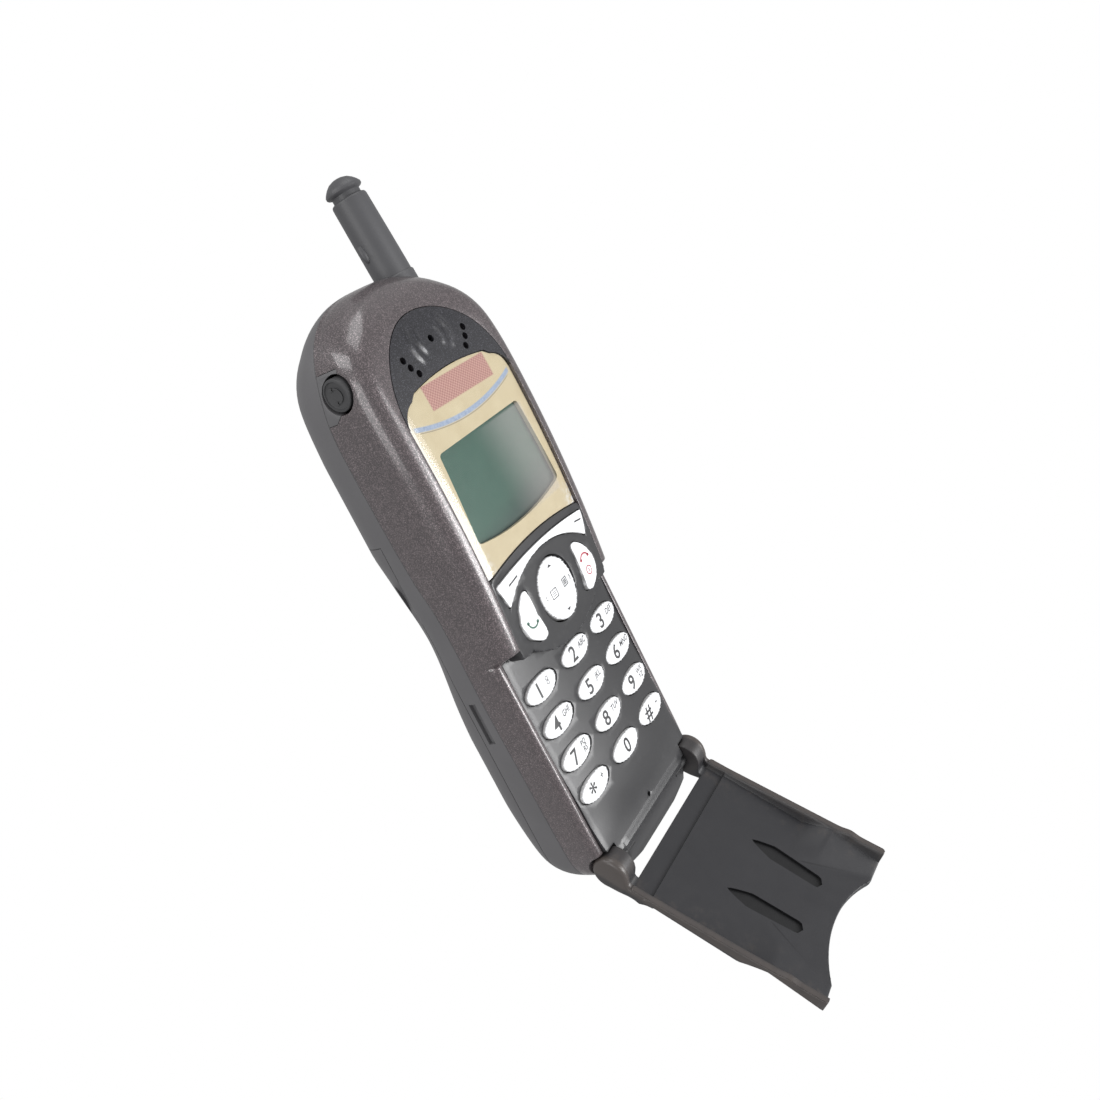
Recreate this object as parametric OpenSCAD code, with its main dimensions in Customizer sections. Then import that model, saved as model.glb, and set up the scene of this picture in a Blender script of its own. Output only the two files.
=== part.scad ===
// Flip phone: a banana-curved handset with a key cover that swings down from the chin,
// a pull-out antenna on the right shoulder and a battery pack that slides off the back.
// Frame: the phone lies on its back on z = 0, +Y points to the antenna,
// +X to the user's right and +Z out of the display. The flip stands open.

/* [Body] */
// Length of the body from chin to crown, without the antenna
body_len = 133.5; // [130:0.5:145]
// Width of the body at its widest
body_w = 46; // [45.5:0.5:50]
// Height of the front face's crest above the surface that the back lies on
front_h = 25.2; // [25:0.1:27]
// Height of the seam between the front and rear housings beside the keys
seam_h = 12.6; // [12.4:0.1:13.2]
// Radius of the lengthwise curve of the front face
front_r = 300; // [260:10:400]
// Wall thickness of the housings
wall = 1.7; // [1.4:0.1:2]
// Thickness of the front face under the plates and the window
face_t = 2.5; // [2.4:0.1:2.8]
// Rounding of the front edges
edge_r = 4.2; // [3.4:0.1:4.8]
// Rounding of the back edges
back_r = 7; // [5:0.5:8]
// How far the waist of the back rises above the resting surface
waist_rise = 2.9; // [1.5:0.1:3.5]
// How much each side leans in from the seam to the front edge
side_draft = 0.5; // [0.2:0.1:0.9]
// Play left between parts that seat in each other
fit_gap = 0.15; // [0.1:0.01:0.2]

/* [Display] */
// Width of the body's shoulder on each side of the window
side_margin = 5.1; // [4.9:0.1:5.7]
// Thickness of the window and of the plates
plate_t = 1.2; // [1:0.1:1.3]
// Distance from the crown to the window's top edge at the middle
window_top_in = 20.1; // [19:0.1:22]
// Width of the printed margin on each side of the display
lcd_margin = 2.9; // [2.4:0.1:4.9]
// Distance from the window's top edge to the visible display
lcd_top_margin = 13.2; // [12:0.1:15]
// Distance from the window's bottom edge to the visible display
lcd_low_margin = 5.3; // [5:0.1:7]
// Radius of the holes in front of the earpiece
sound_hole_r = 0.75; // [0.5:0.05:0.9]

/* [Keys] */
// Share of the column spacing that a digit key fills
key_fill = 0.8; // [0.66:0.01:0.86]
// Length along the phone of a digit key
key_l = 5.2; // [4.5:0.1:6]
// Distance from the body's side to the middle of the outer key columns
key_col_in = 9.3; // [9.1:0.1:9.8]
// Spacing of the key rows
row_pitch = 8.4; // [7.8:0.1:8.6]
// Distance from the chin to the last row of keys
row_last_in = 22; // [21:0.1:23]
// Distance from the first row of keys to the window's bottom edge at the corners
cluster_l = 26.7; // [26:0.1:28]
// Height that a digit key stands above the panel
key_proud = 0.65; // [0.4:0.05:0.8]
// Travel of every key
key_travel = 0.5; // [0.3:0.05:0.6]
// Gap round each key in its hole
key_gap = 0.25; // [0.15:0.05:0.35]
// Length across the phone of the navigation key
nav_w = 12.4; // [11:0.1:13]
// Length along the phone of the navigation key
nav_l = 13.8; // [12.5:0.1:14.2]
// Thickness of the key panel
panel_t = 1.2; // [1:0.1:1.3]

/* [Flip] */
// Distance from the chin to the hinge axis
hinge_in = 4.75; // [4.6:0.05:5.2]
// Height of the hinge axis above the resting surface
hinge_h = 21.4; // [21.2:0.1:21.8]
// Radius of the knuckles at the ends of the flip
knuckle_r = 4; // [3.6:0.1:4.2]
// Radius of the hinge pins
pin_r = 1.1; // [0.9:0.05:1.2]
// Running clearance between a pin and the chin's bore
pin_clear = 0.05; // [0.03:0.01:0.08]
// Length of the flip from the axis to its corners
flip_len = 49.5; // [48:0.1:50.4]
// How far the flip's sides lie inside the body's sides
flip_in = 0.8; // [0.7:0.1:1.2]
// Thickness of the flip's floor
flip_t = 1.4; // [1.2:0.1:1.8]
// Angle from closed to the open position in which the phone is drawn
flip_open = 130; // [60:1:134]

/* [Antenna] */
// Distance from the body's side to the antenna
antenna_in = 11; // [10.5:0.5:13]
// Radius of the antenna stub at its base
stub_r = 4.1; // [3.6:0.1:4.2]
// Length of the stub outside its collar
stub_len = 17.6; // [12:0.5:20]
// Radius of the whip
whip_r = 0.9; // [0.7:0.05:1]
// Length of the whip below its cap
whip_len = 70; // [50:1:60]

/* [Battery] */
// Length of the battery pack from the chin to its latch end
pack_len = 87.8; // [84:0.2:90]
// Height of the battery bay's ceiling
bay_h = 7.6; // [7:0.1:8]
// Width of the latch button
latch_w = 12; // [9:0.5:15]

/* [Hidden] */

// ---- allowances ----
// How far a cutter runs on beyond what it cuts
over = 3;
// Gap between parts that are screwed, soldered or clipped against each other
seat = 0.05;
touch = 0.02;

// ---- places along the phone ----
chin_y = -body_len / 2;
crown_y = body_len / 2;
half_body = body_w / 2;
half_plate = half_body - side_margin;
lcd_half = half_plate - lcd_margin;
col_pitch = half_body - key_col_in;
key_w = key_fill * col_pitch;
antenna_x = half_body - antenna_in;
flip_half = half_body - flip_in;
tongue_in = 6.2;
tongue_half = half_body - tongue_in;
ear_in = tongue_half + 0.4;
hinge_y = chin_y + hinge_in;
row_last_y = chin_y + row_last_in;
chin_end_y = hinge_y + 1.6;
window_top_y = crown_y - window_top_in;
window_bottom_y = row_last_y + 3 * row_pitch + cluster_l;
lcd_low = window_bottom_y + lcd_low_margin;
lcd_high = window_top_y - lcd_top_margin;
lcd_y = (lcd_low + lcd_high) / 2;
crest_y = lcd_y - 4.95;
window_bottom_sag = 1.8;
window_top_sag = 2.7;
step_y = window_bottom_y - 16.8;
nav_y = window_bottom_y - 11.5;
pack_y = chin_y + pack_len;
jack_y = crown_y - 15.4;
jack_z = 15.8;

// ---- curves of the body ----
// Each line is a short list of [y, value] points joined by a smooth curve.
function span_of(p, y, i = 0) = i >= len(p) - 2 || y <= p[i + 1][0] ? i : span_of(p, y, i + 1);
function secant(p, i, j) = (p[j][1] - p[i][1]) / (p[j][0] - p[i][0]);
function tangent(p, i) = secant(p, max(i - 1, 0), min(i + 1, len(p) - 1));
function curve(p, y) =
    let (i = span_of(p, y), h = p[i + 1][0] - p[i][0], t = (y - p[i][0]) / h)
    let (a = 1 - 3 * t * t + 2 * t * t * t, b = t - 2 * t * t + t * t * t, c = t * t * t - t * t)
    a * p[i][1] + (1 - a) * p[i + 1][1] + h * (b * tangent(p, i) + c * tangent(p, i + 1));

// Fall of a rounded end: 1 where it starts and 0 at its tip
function round_end(s, p) = s <= 0 ? 1 : pow(max(0, 1 - pow(min(s, 1), p)), 1 / p);

crown_start = crown_y - 16.8;
crown_side_start = crown_y - 27;
chin_start = chin_y + 11;
chin_side_start = chin_y + 16.8;

back_line = [
    [chin_y, 4.2], [chin_y + 9, 2], [chin_y + 20, 0.3], [chin_y + 33, -0.3],
    [-20, 0.5], [-2, waist_rise], [12, 1.1], [21, -0.2], [33, -0.3],
    [44, 0.3], [54, 1], [crown_y, 3.6]
];
seam_line = [
    [chin_y, seam_h + 1.2], [chin_y + 20, seam_h + 0.7], [-18, seam_h], [3, seam_h],
    [13, seam_h - 1.3], [28, seam_h - 2], [44, seam_h - 2.1], [56, seam_h - 0.6],
    [crown_y, seam_h - 0.5]
];
// Height of the key panel's top beside the keys, rising towards the chin's ridge
deck_h = 20.6;
ridge_h = hinge_h + 1.5;
deck_line = [
    [hinge_y + 1.5, ridge_h - 0.4], [hinge_y + 5, ridge_h - 0.7], [row_last_y, deck_h + 1.2],
    [row_last_y + row_pitch, deck_h + 0.6], [row_last_y + 2 * row_pitch, deck_h + 0.2],
    [row_last_y + 3 * row_pitch, deck_h], [step_y, deck_h]
];
// Height of the rims beside the key panel
rim_line = [[chin_y, hinge_h + 0.1], [hinge_y + 10, hinge_h - 0.3], [step_y, hinge_h - 1.4]];
step_slope = 1.4;

// t moves a line inwards by a wall's thickness
function crown(y, t = 0) = round_end((y - crown_start) / (crown_y - t - crown_start), 2.4);
function chin(y, t = 0) = round_end((chin_start - y) / (chin_start - chin_y - t), 2.6);
function seam_z(y) = curve(seam_line, y);
function rim_z(y) = curve(rim_line, y);
function dome_z(y) = front_h - (y - crest_y) * (y - crest_y) / (2 * front_r);
function face_z(y, t = 0) = seam_z(y) + (dome_z(y) - t - seam_z(y)) * crown(y, t);
function top_z(y, t = 0) = y <= step_y ? rim_z(y) - t
    : face_z(y, t) - max(0, 1 - (y - step_y) / step_slope) * (dome_z(y) - rim_z(y));
function bottom_z(y, t = 0) =
    let (back = max(0, curve(back_line, y)) + t)
    seam_z(y) - (seam_z(y) - back) * crown(y, t) * chin(y, t);
function half_w(y, t = 0) = (half_body - t)
    * round_end((y - crown_side_start) / (crown_y - t - crown_side_start), 2.9)
    * round_end((chin_side_start - y) / (chin_side_start - chin_y - t), 4.5);
function deck_z(y) = curve(deck_line, y);
// The key panel is crowned across the phone, but flat at the chin's ridge
deck_crown = 0.5;
deck_flat_y = hinge_y + 5;
function deck_rise(x, y) = deck_crown * (1 - pow(x / col_pitch, 2)) * min(1, max(0, (y - deck_flat_y) / 6));

// ---- lofts ----
// Stations run close together at the rounded ends
end_turn = 88.5;
function steps_between(a, b, n) = [for (i = [0 : n]) a + (b - a) * i / n];
function low_end(tip, start, n) =
    [for (i = [0 : n - 1]) start - (start - tip) * sin(end_turn * (1 - i / n))];
function high_end(start, tip, n) =
    [for (i = [1 : n]) start + (tip - start) * sin(end_turn * i / n)];
body_stations = concat(low_end(chin_y, chin_side_start, 8),
    steps_between(chin_side_start, step_y, 5), [step_y + step_slope],
    steps_between(step_y + 4, crown_side_start, 11), high_end(crown_side_start, crown_y, 8));

// One section: up from the base, round the corner and over to the other side.
// It runs clockwise or anticlockwise with the sign of side.
corner_steps = 6;
function section(w, base, top, lean, rx, rz, side = 1) =
    let (s = top > base ? 1 : -1, h = abs(top - base))
    let (a = min(rx, 0.92 * w), b = min(rz, 0.92 * h), x = max(w - lean, a))
    let (arc = [for (i = [0 : corner_steps]) let (t = 90 * i / corner_steps)
        [x - a + a * cos(t), top - s * b + s * b * sin(t)]])
    [for (p = concat([[w, base]], arc, [for (i = [corner_steps : -1 : 0]) [-arc[i][0], arc[i][1]]],
        [[-w, base]])) [side * p[0], p[1]]];
function ring(outline, y) = [for (p = outline) [p[0], y, p[1]]];

module loft(rings) {
    n = len(rings);
    m = len(rings[0]);
    sides = [for (i = [0 : n - 2], j = [0 : m - 1]) let (k = (j + 1) % m)
        each [[i * m + j, i * m + k, (i + 1) * m + k], [i * m + j, (i + 1) * m + k, (i + 1) * m + j]]];
    caps = [for (j = [1 : m - 2])
        each [[0, j + 1, j], [(n - 1) * m, (n - 1) * m + j, (n - 1) * m + j + 1]]];
    polyhedron(points = [for (r = rings) each r], faces = concat(sides, caps));
}

// Corner radii grow where the crown rounds off, and are small along the rims
rim_edge_r = 1.5;
function grown(r, y, share = 0.55) = r + half_body * (1 - crown(y)) * share;
function back_edge(y) = grown(back_r, y, 0.36);
function front_edge(y) = y <= step_y ? rim_edge_r : grown(edge_r, y);

// Upper half of the outside, from the seam to the front face
module upper_form() loft([for (y = body_stations)
    ring(section(half_w(y), seam_z(y), top_z(y), side_draft, front_edge(y), front_edge(y) * 1.2), y)]);

// Lower half of the outside, from the seam to the back
module lower_form() loft([for (y = body_stations)
    ring(section(half_w(y), seam_z(y), bottom_z(y), 0, back_edge(y), back_edge(y), -1), y)]);

overlap = 1;
// Room under the front face, from the step to the crown
module upper_room() loft([for (y = concat(steps_between(step_y - overlap, crown_side_start, 6),
        high_end(crown_side_start, crown_y - face_t, 6)))
    ring(section(half_w(y, wall), seam_z(y) - overlap, top_z(y, face_t), side_draft,
        grown(edge_r - 1, y), grown(edge_r - 1, y)), y)]);

// Open well that holds the key panel, between the rims
rim_w = 2.6;
well_top = front_h + 5;
module key_well() loft([for (y = steps_between(chin_end_y, step_y, 10))
    let (w = half_w(y) - rim_w, z = seam_z(y) - overlap)
    ring([[w, z], [w, well_top], [-w, well_top], [-w, z]], y)]);

// Room behind the rear wall above the battery bay
module rear_upper_room() loft([for (y = concat(steps_between(pack_y + wall, crown_side_start, 4),
        high_end(crown_side_start, crown_y - wall, 6)))
    ring(section(half_w(y, wall), seam_z(y) + overlap, bottom_z(y, wall), 0,
        grown(back_r - wall, y), grown(back_r - wall, y), -1), y)]);

// Room over the ceiling of the battery bay
bay_roof = bay_h + wall - 0.1;
chin_wall = 2.2;
module rear_lower_room() loft([for (y = concat(low_end(chin_y + chin_wall, chin_side_start, 4),
        steps_between(chin_side_start, pack_y + wall + overlap, 6)))
    ring(section(half_w(y, wall), seam_z(y) + overlap, bay_roof, 0, 1, 1, -1), y)]);

// ---- outlines and simple solids ----
// A solid of the given [y, z] outline, centred across the phone
module across(outline, w) translate([-w / 2, 0, 0])
    multmatrix([[0, 0, 1, 0], [1, 0, 0, 0], [0, 1, 0, 0], [0, 0, 0, 1]])
    linear_extrude(w) polygon(outline);

module upright(z0, z1) translate([0, 0, z0]) linear_extrude(z1 - z0) children();

module block(x0, x1, y0, y1, z0, z1) translate([x0, y0, z0]) cube([x1 - x0, y1 - y0, z1 - z0]);

module axle(r, x0, x1, y, z) translate([x0, y, z]) rotate([0, 90, 0]) cylinder(r = r, h = x1 - x0, $fn = 48);

module post(r, x, y, z0, z1) translate([x, y, z0]) cylinder(r = r, h = z1 - z0, $fn = 48);

module both_sides() {
    children();
    mirror([1, 0, 0]) children();
}

// Everything between the face less drop_top and the face less drop_bottom
band_steps = 22;
module face_band(y0, y1, drop_top, drop_bottom) {
    ys = steps_between(y0, y1, band_steps);
    across(concat([for (y = ys) [y, face_z(y) - drop_top]],
        [for (i = [band_steps : -1 : 0]) [ys[i], face_z(ys[i]) - drop_bottom]]), body_w);
}

arc_steps = 24;
function arc(r, from, to, n = arc_steps) =
    [for (i = [0 : n]) let (t = from + (to - from) * i / n) [r * cos(t), r * sin(t)]];
function shift(p, dx, dy) = [for (q = p) [q[0] + dx, q[1] + dy]];
function oval_points(w, l) = [for (p = arc(1, 0, 360 - 10, 35)) [p[0] * w / 2, p[1] * l / 2]];

// The arch of the earpiece plate closes the long opening in the front face
arch_y = crown_y - 26.75;
arch_rise = 18.9;
module face_opening(grow = 0) {
    w = half_plate + grow;
    polygon(concat([[-w, step_y - overlap], [w, step_y - overlap]],
        [for (p = arc(1, 0, 180)) [p[0] * w, arch_y + p[1] * (arch_rise + grow)]]));
}

function window_edge(x) = window_bottom_y + window_bottom_sag * (1 - pow(x / half_plate, 2));
window_xs = steps_between(-half_plate, half_plate, arc_steps);
window_corner = 5.4;
// Outline of the window's top, which runs on below the window
module window_top_form() offset(r = window_corner) offset(delta = -window_corner)
    polygon(concat([[half_plate, window_bottom_y - 10], [-half_plate, window_bottom_y - 10]],
        [for (x = window_xs) [x, window_top_y - window_top_sag * pow(x / half_plate, 2)]]));
module above_window_edge(drop) polygon(concat([[half_body, crown_y], [-half_body, crown_y]],
    [for (x = window_xs) [x, window_edge(x) - drop]]));

// ---- keys ----
// Each digit key is [name, column, row from the bottom]
digit_keys = [
    ["key_1", -1, 3], ["key_2", 0, 3], ["key_3", 1, 3],
    ["key_4", -1, 2], ["key_5", 0, 2], ["key_6", 1, 2],
    ["key_7", -1, 1], ["key_8", 0, 1], ["key_9", 1, 1],
    ["key_star", -1, 0], ["key_0", 0, 0], ["key_hash", 1, 0]
];
function key_x(k) = k[1] * col_pitch;
function key_y(k) = row_last_y + k[2] * row_pitch;
key_crown_r = 32;
flange = 0.6;
flange_t = 0.35;
flange_drop = 0.3;
// Crowned cap over a flat outline, with a flange that holds it under the panel.
// The origin is the panel's surface at the key.
module key_cap(proud, drop) {
    under = -panel_t - drop - flange_t;
    intersection() {
        upright(under, proud) children(0);
        translate([0, 0, proud - key_crown_r]) rotate([90, 0, 0])
            cylinder(r = key_crown_r, h = body_w, center = true, $fn = 200);
    }
    upright(under, under + flange_t) offset(delta = flange) children(0);
}
module digit_key(k) {
    rise = deck_rise(key_x(k), key_y(k));
    color([0.93, 0.94, 0.95]) translate([key_x(k), key_y(k), deck_z(key_y(k)) + rise])
        key_cap(key_proud, flange_drop + rise) polygon(oval_points(key_w, key_l));
}

nav_proud = 0.7;
cluster_flange_drop = 1;
module nav_outline() translate([0, nav_y]) polygon(oval_points(nav_w, nav_l));
// The navigation key rolls on a round rib under its middle
rock_r = 0.6;
rock_gap = 0.2;
nav_rib_half = nav_w / 5;
nav_axis_z = face_z(nav_y) - panel_t - cluster_flange_drop - 0.07;
module nav_key() color([0.93, 0.94, 0.95]) {
    translate([0, 0, face_z(nav_y)]) key_cap(nav_proud, cluster_flange_drop) nav_outline();
    axle(rock_r, -nav_rib_half, nav_rib_half, nav_y, nav_axis_z);
}

soft_drop = 1.7;
soft_sag = 1.3;
soft_half = half_plate - 0.7;
soft_inner_r = 25;
soft_inner_y = window_bottom_y - 1.6 - soft_inner_r;
soft_foot = soft_half - 1.5;
module soft_outline() offset(r = 0.3) offset(delta = -0.3) polygon(concat(
    [for (x = steps_between(-soft_half, soft_half, arc_steps))
        [x, window_bottom_y - soft_drop + soft_sag * (1 - pow(x / soft_half, 2))]],
    [for (x = steps_between(soft_foot, -soft_foot, arc_steps))
        [x, soft_inner_y + sqrt(soft_inner_r * soft_inner_r - x * x)]]));
soft_proud = 0.35;
soft_y = window_bottom_y - 1;
soft_under = dome_z(window_bottom_y - 3.7) - panel_t - flange_drop;
soft_rib_y = window_bottom_y - 0.55;
soft_rib_l = 1;
module soft_key_bar() color([0.93, 0.94, 0.95]) {
    intersection() {
        face_band(soft_y - 9, soft_y + 3, -soft_proud, panel_t + flange_drop);
        upright(0, well_top) soft_outline();
    }
    // round rib under the middle, on which the bar rocks
    translate([0, soft_rib_y, soft_under]) rotate([90, 0, 0]) cylinder(r = rock_r, h = soft_rib_l, $fn = 48);
}

// Outline of the key left of the navigation key, measured from the navigation key's centre
// and with its places across as shares of the plates' half width
call_points = [[-0.525, 5.1], [-0.62, 5.1], [-0.76, 3], [-0.844, -0.2],
    [-0.793, -3.8], [-0.603, -6.2], [-0.48, -5.8], [-0.52, -1]];
call_middle = 0.65;
module call_outline() offset(r = 0.7) offset(delta = -0.7) translate([0, nav_y])
    polygon([for (p = call_points) [p[0] * half_plate, p[1]]]);
side_key_proud = 0.45;
module call_key() color([0.93, 0.94, 0.95]) translate([0, 0, face_z(nav_y)])
    key_cap_flat(side_key_proud) call_outline();
module end_key() mirror([1, 0, 0]) call_key();
// Flat-topped cap, for the keys that lie off the middle
module key_cap_flat(proud) {
    under = -panel_t - cluster_flange_drop - flange_t;
    upright(under, proud) children(0);
    upright(under, under + flange_t) offset(delta = flange) children(0);
}

// ---- key panel ----
cluster_arc_r = 22;
shoulder_y = step_y - 1;
shoulder_x = half_plate - 3.7;
cluster_drop = 5.2;
cluster_arc_y = shoulder_y - cluster_drop + cluster_arc_r;
function deck_half(y) = half_w(y) - rim_w - fit_gap;
deck_ys = steps_between(chin_end_y, step_y - fit_gap, 10);
module deck_outline() polygon(concat([for (y = deck_ys) [deck_half(y), y]],
    [for (i = [len(deck_ys) - 1 : -1 : 0]) [-deck_half(deck_ys[i]), deck_ys[i]]]));
tongue_over = 1.2;
tongue_arc_r = 46;
chin_top = hinge_h - pin_r - 0.5;

// Outline of the raised navigation cluster, with its round lower edge
module cluster_outline(inset = 0) {
    turn = asin(shoulder_x / cluster_arc_r);
    difference() {
        polygon(concat([[half_plate - inset, shoulder_y + inset], [half_plate - inset, window_bottom_y + 5],
            [inset - half_plate, window_bottom_y + 5], [inset - half_plate, shoulder_y + inset]],
            shift(arc(cluster_arc_r - inset, 270 - turn, 270 + turn), 0, cluster_arc_y)));
        above_window_edge(fit_gap);
    }
}
// Sheet of the panel: crowned on top and level across underneath
module deck_form() loft([for (y = steps_between(chin_end_y - 0.4, step_y, 10)) let (under = deck_z(y) - panel_t)
    ring(concat([[half_body, under]], [for (x = steps_between(half_body, -half_body, 10))
        [x, deck_z(y) + deck_rise(x, y)]], [[-half_body, under]]), y)]);
// Block over the chin that carries the hinge: a ridge, a slope and a bowed end
slope_foot_y = hinge_y + 4.4;
module tongue() intersection() {
    across([[slope_foot_y, deck_z(slope_foot_y) - panel_t / 2], [slope_foot_y, deck_z(slope_foot_y) - 0.2],
        [hinge_y + 1.5, ridge_h], [chin_y - 0.2, ridge_h - 1.9], [chin_y - tongue_over, ridge_h - 2.7],
        [chin_y - tongue_over + 0.2, chin_top + 0.1], [chin_end_y - 0.1, chin_top + 0.1],
        [chin_end_y, deck_z(chin_end_y) - panel_t / 2]], 2 * tongue_half);
    upright(0, well_top) intersection() {
        translate([0, chin_y - tongue_over + tongue_arc_r]) circle(r = tongue_arc_r, $fn = 180);
        translate([-tongue_half, chin_y - 5]) square([2 * tongue_half, 14]);
    }
}
module key_holes() {
    for (k = digit_keys) translate([key_x(k), key_y(k), 0])
        upright(seam_h, well_top) polygon(oval_points(key_w + 2 * key_gap, key_l + 2 * key_gap));
    upright(seam_h, well_top) {
        offset(delta = key_gap + rock_gap) nav_outline();
        offset(delta = key_gap) soft_outline();
        offset(delta = key_gap) call_outline();
        mirror([1, 0, 0]) offset(delta = key_gap) call_outline();
    }
}
mic_y = hinge_y + 3.7;
mic_hole_r = 0.55;
bore_deep = 6;
module key_panel() color([0.12, 0.12, 0.13]) difference() {
    union() {
        intersection() {
            face_band(shoulder_y - cluster_drop - 1, window_bottom_y + 3, 0, plate_t);
            upright(0, well_top) cluster_outline();
        }
        intersection() {
            face_band(shoulder_y - cluster_drop - 1, step_y, 0, front_h - deck_h);
            upright(0, well_top) intersection() {
                difference() {
                    cluster_outline();
                    cluster_outline(panel_t);
                }
                translate([-half_body, shoulder_y - 10]) square([body_w, 11 - fit_gap]);
            }
        }
        intersection() {
            deck_form();
            upright(0, well_top) difference() {
                deck_outline();
                cluster_outline(panel_t / 2);
            }
        }
        tongue();
    }
    key_holes();
    post(mic_hole_r, 0, mic_y, deck_h - over, well_top);
    both_sides() axle(pin_r + pin_clear, tongue_half - bore_deep, tongue_half + over, hinge_y, hinge_h);
    hinge_notches();
}

// ---- chin and hinge ----
notch_r = knuckle_r + 0.6;
notch_side = 0.3;
module hinge_notches() both_sides() axle(notch_r, ear_in - notch_side, half_body + over, hinge_y, hinge_h);

// ---- housings ----
screw_x = half_body - 4;
screw_ys = [chin_y + 16.8, pack_y - 7.05];
screw_r = 0.75;
screw_clear = 0.05;
head_r = 1.5;
head_h = 0.9;
post_r = 2.1;

antenna_y = crown_y - 0.6;
antenna_z = 10.8;
antenna_lean = 6;
collar_r = stub_r + 0.3;
collar_top = -0.3;
thread_r = 3;
module along_antenna() translate([antenna_x, antenna_y, antenna_z]) rotate([-90 - antenna_lean, 0, 0]) children();
collar_deep = 4;
thread_deep = 8;
boss_wall = 1.3;
module turned(r, z0, z1) translate([0, 0, z0]) cylinder(r = r, h = z1 - z0, $fn = 72);
module antenna_seat() along_antenna() {
    turned(collar_r + seat, -collar_deep, 2 * over);
    turned(thread_r + 2 * seat, -thread_deep - 4, -collar_deep + over);
}
module antenna_boss() along_antenna() turned(collar_r + boss_wall, -collar_deep - 1.5, over);

plug_r = 3.7;
// Face of the headset socket, behind the left side
jack_face = -half_body + 4.8;
connector_half = 9;
connector_z = 12.2;
connector_end = hinge_y + 7.5;
board_z = 16;
board_t = 1.2;
board_top = board_z + board_t + seat;

// The left side round the plug belongs to the rear housing
tab_deep = 3.5;
tab_foot = 7.5;
module tab_block(grow) translate([-half_body - over, 0, 0])
    multmatrix([[0, 0, 1, 0], [1, 0, 0, 0], [0, 1, 0, 0], [0, 0, 0, 1]])
    linear_extrude(over + tab_deep + grow) offset(delta = grow) polygon(shift([
        [-4.9, tab_foot - jack_z], [4.4, tab_foot - jack_z], [4.4, 1.4], [-2.6, 1.1], [-3.2, -0.6], [-4.9, -2.8]],
        jack_y, jack_z));

ledge = 0.6;
module front_housing() color([0.25, 0.22, 0.22]) difference() {
    upper_form();
    difference() {
        upper_room();
        antenna_boss();
        both_sides() post(post_r, screw_x, screw_ys[1], seam_h - 4, front_h);
    }
    difference() {
        key_well();
        both_sides() post(post_r, screw_x, screw_ys[0], seam_h - 4, deck_z(screw_ys[0]) - panel_t - 0.3);
    }
    // the chin is low under the tongue
    block(-half_body - over, half_body + over, chin_y - over, hinge_y + 4, chin_top, well_top);
    // seat of the plates and the window
    intersection() {
        face_band(step_y - 2, crown_y - 6, -over, plate_t + seat);
        upright(0, well_top) face_opening(fit_gap / 2);
    }
    // openings behind the cluster, the display and the earpiece
    block(-half_plate + ledge, half_plate - ledge, step_y - 3, window_bottom_y - 0.1, seam_h, well_top);
    block(-lcd_half - 1, lcd_half + 1, lcd_low - 1, lcd_high + 1, seam_h, well_top);
    post(5, 0, crown_y - 17.6, seam_h, well_top);
    hinge_notches();
    antenna_seat();
    plug_hole();
    tab_block(fit_gap / 2);
    for (y = screw_ys) both_sides() post(screw_r + screw_clear, screw_x, y, seam_h - 4, board_z + 1.6);
    block(-connector_half - plug_gap, connector_half + plug_gap, chin_y - over, chin_end_y + 0.9,
        connector_z - wall, board_z);
}

plug_gap = 0.1;
module plug_hole() axle(plug_r + plug_gap, -half_body - over, jack_face, jack_y, jack_z);
module plug_tab() translate([0, 0, -0.02]) intersection() {
    difference() {
        upper_form();
        upper_room();
    }
    tab_block(0);
}

// The end of the battery bay leans over the latch's nose, and the pack's end leans with it
end_in = 2;
end_up = 2.9;
module bay_end(gap) across([[pack_y - gap - end_in * (1 + 4 / end_up), -4], [pack_y + 3, -4], [pack_y + 3, end_up],
    [pack_y - gap, end_up]], body_w + 2);

cradle_y = chin_y + 45.25;
module rear_housing() color([0.2, 0.2, 0.21]) {
    difference() {
        plug_tab();
        plug_hole();
    }
    rear_shell();
}
module rear_shell() difference() {
    lower_form();
    difference() {
        rear_upper_room();
        antenna_boss();
    }
    difference() {
        rear_lower_room();
        for (y = screw_ys) both_sides() post(post_r, screw_x, y, bay_h, seam_h + 3);
    }
    difference() {
        block(-half_body - over, half_body + over, chin_y - over, pack_y, -over, bay_h);
        bay_end(0);
    }
    antenna_seat();
    for (y = screw_ys) both_sides() {
        post(screw_r + screw_clear, screw_x, y, 0, seam_h + over);
        post(head_r + screw_clear, screw_x, y, 0, bay_h + head_h + fit_gap);
    }
    block(-connector_half - plug_gap, connector_half + plug_gap, chin_y - over, connector_end + 0.5,
        connector_z, seam_h + over);
    // latch slot, its nose's way into the bay and the slot for the contacts
    block(-latch_w / 2 - latch_gap, latch_w / 2 + latch_gap, latch_y - latch_gap,
        latch_y + latch_l + latch_travel + latch_gap, -over, wall + 1);
    block(-latch_nose / 2 - latch_gap, latch_nose / 2 + latch_gap, pack_y - over, latch_y + 3, -over,
        wall + latch_h + latch_gap);
    block(-contact_half - 0.3, contact_half + 0.3, contact_y - 0.7, contact_y + 0.7, bay_h - 1, bay_roof + 1);
    // cradle notches low on both sides
    both_sides() intersection() {
        block(half_body - 0.9, half_body + 2, cradle_y - 6, cradle_y + 6, 0, seam_h);
        axle_slot(cradle_y, seam_h - 3, 5, 0.9);
    }
}
// A long slot with round ends, seen from the side
module axle_slot(y, z, reach, r) translate([half_body - 3, y, z]) rotate([0, 90, 0]) linear_extrude(8) hull() {
    translate([0, -reach + r]) circle(r = r, $fn = 24);
    translate([0, reach - r]) circle(r = r, $fn = 24);
}

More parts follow.
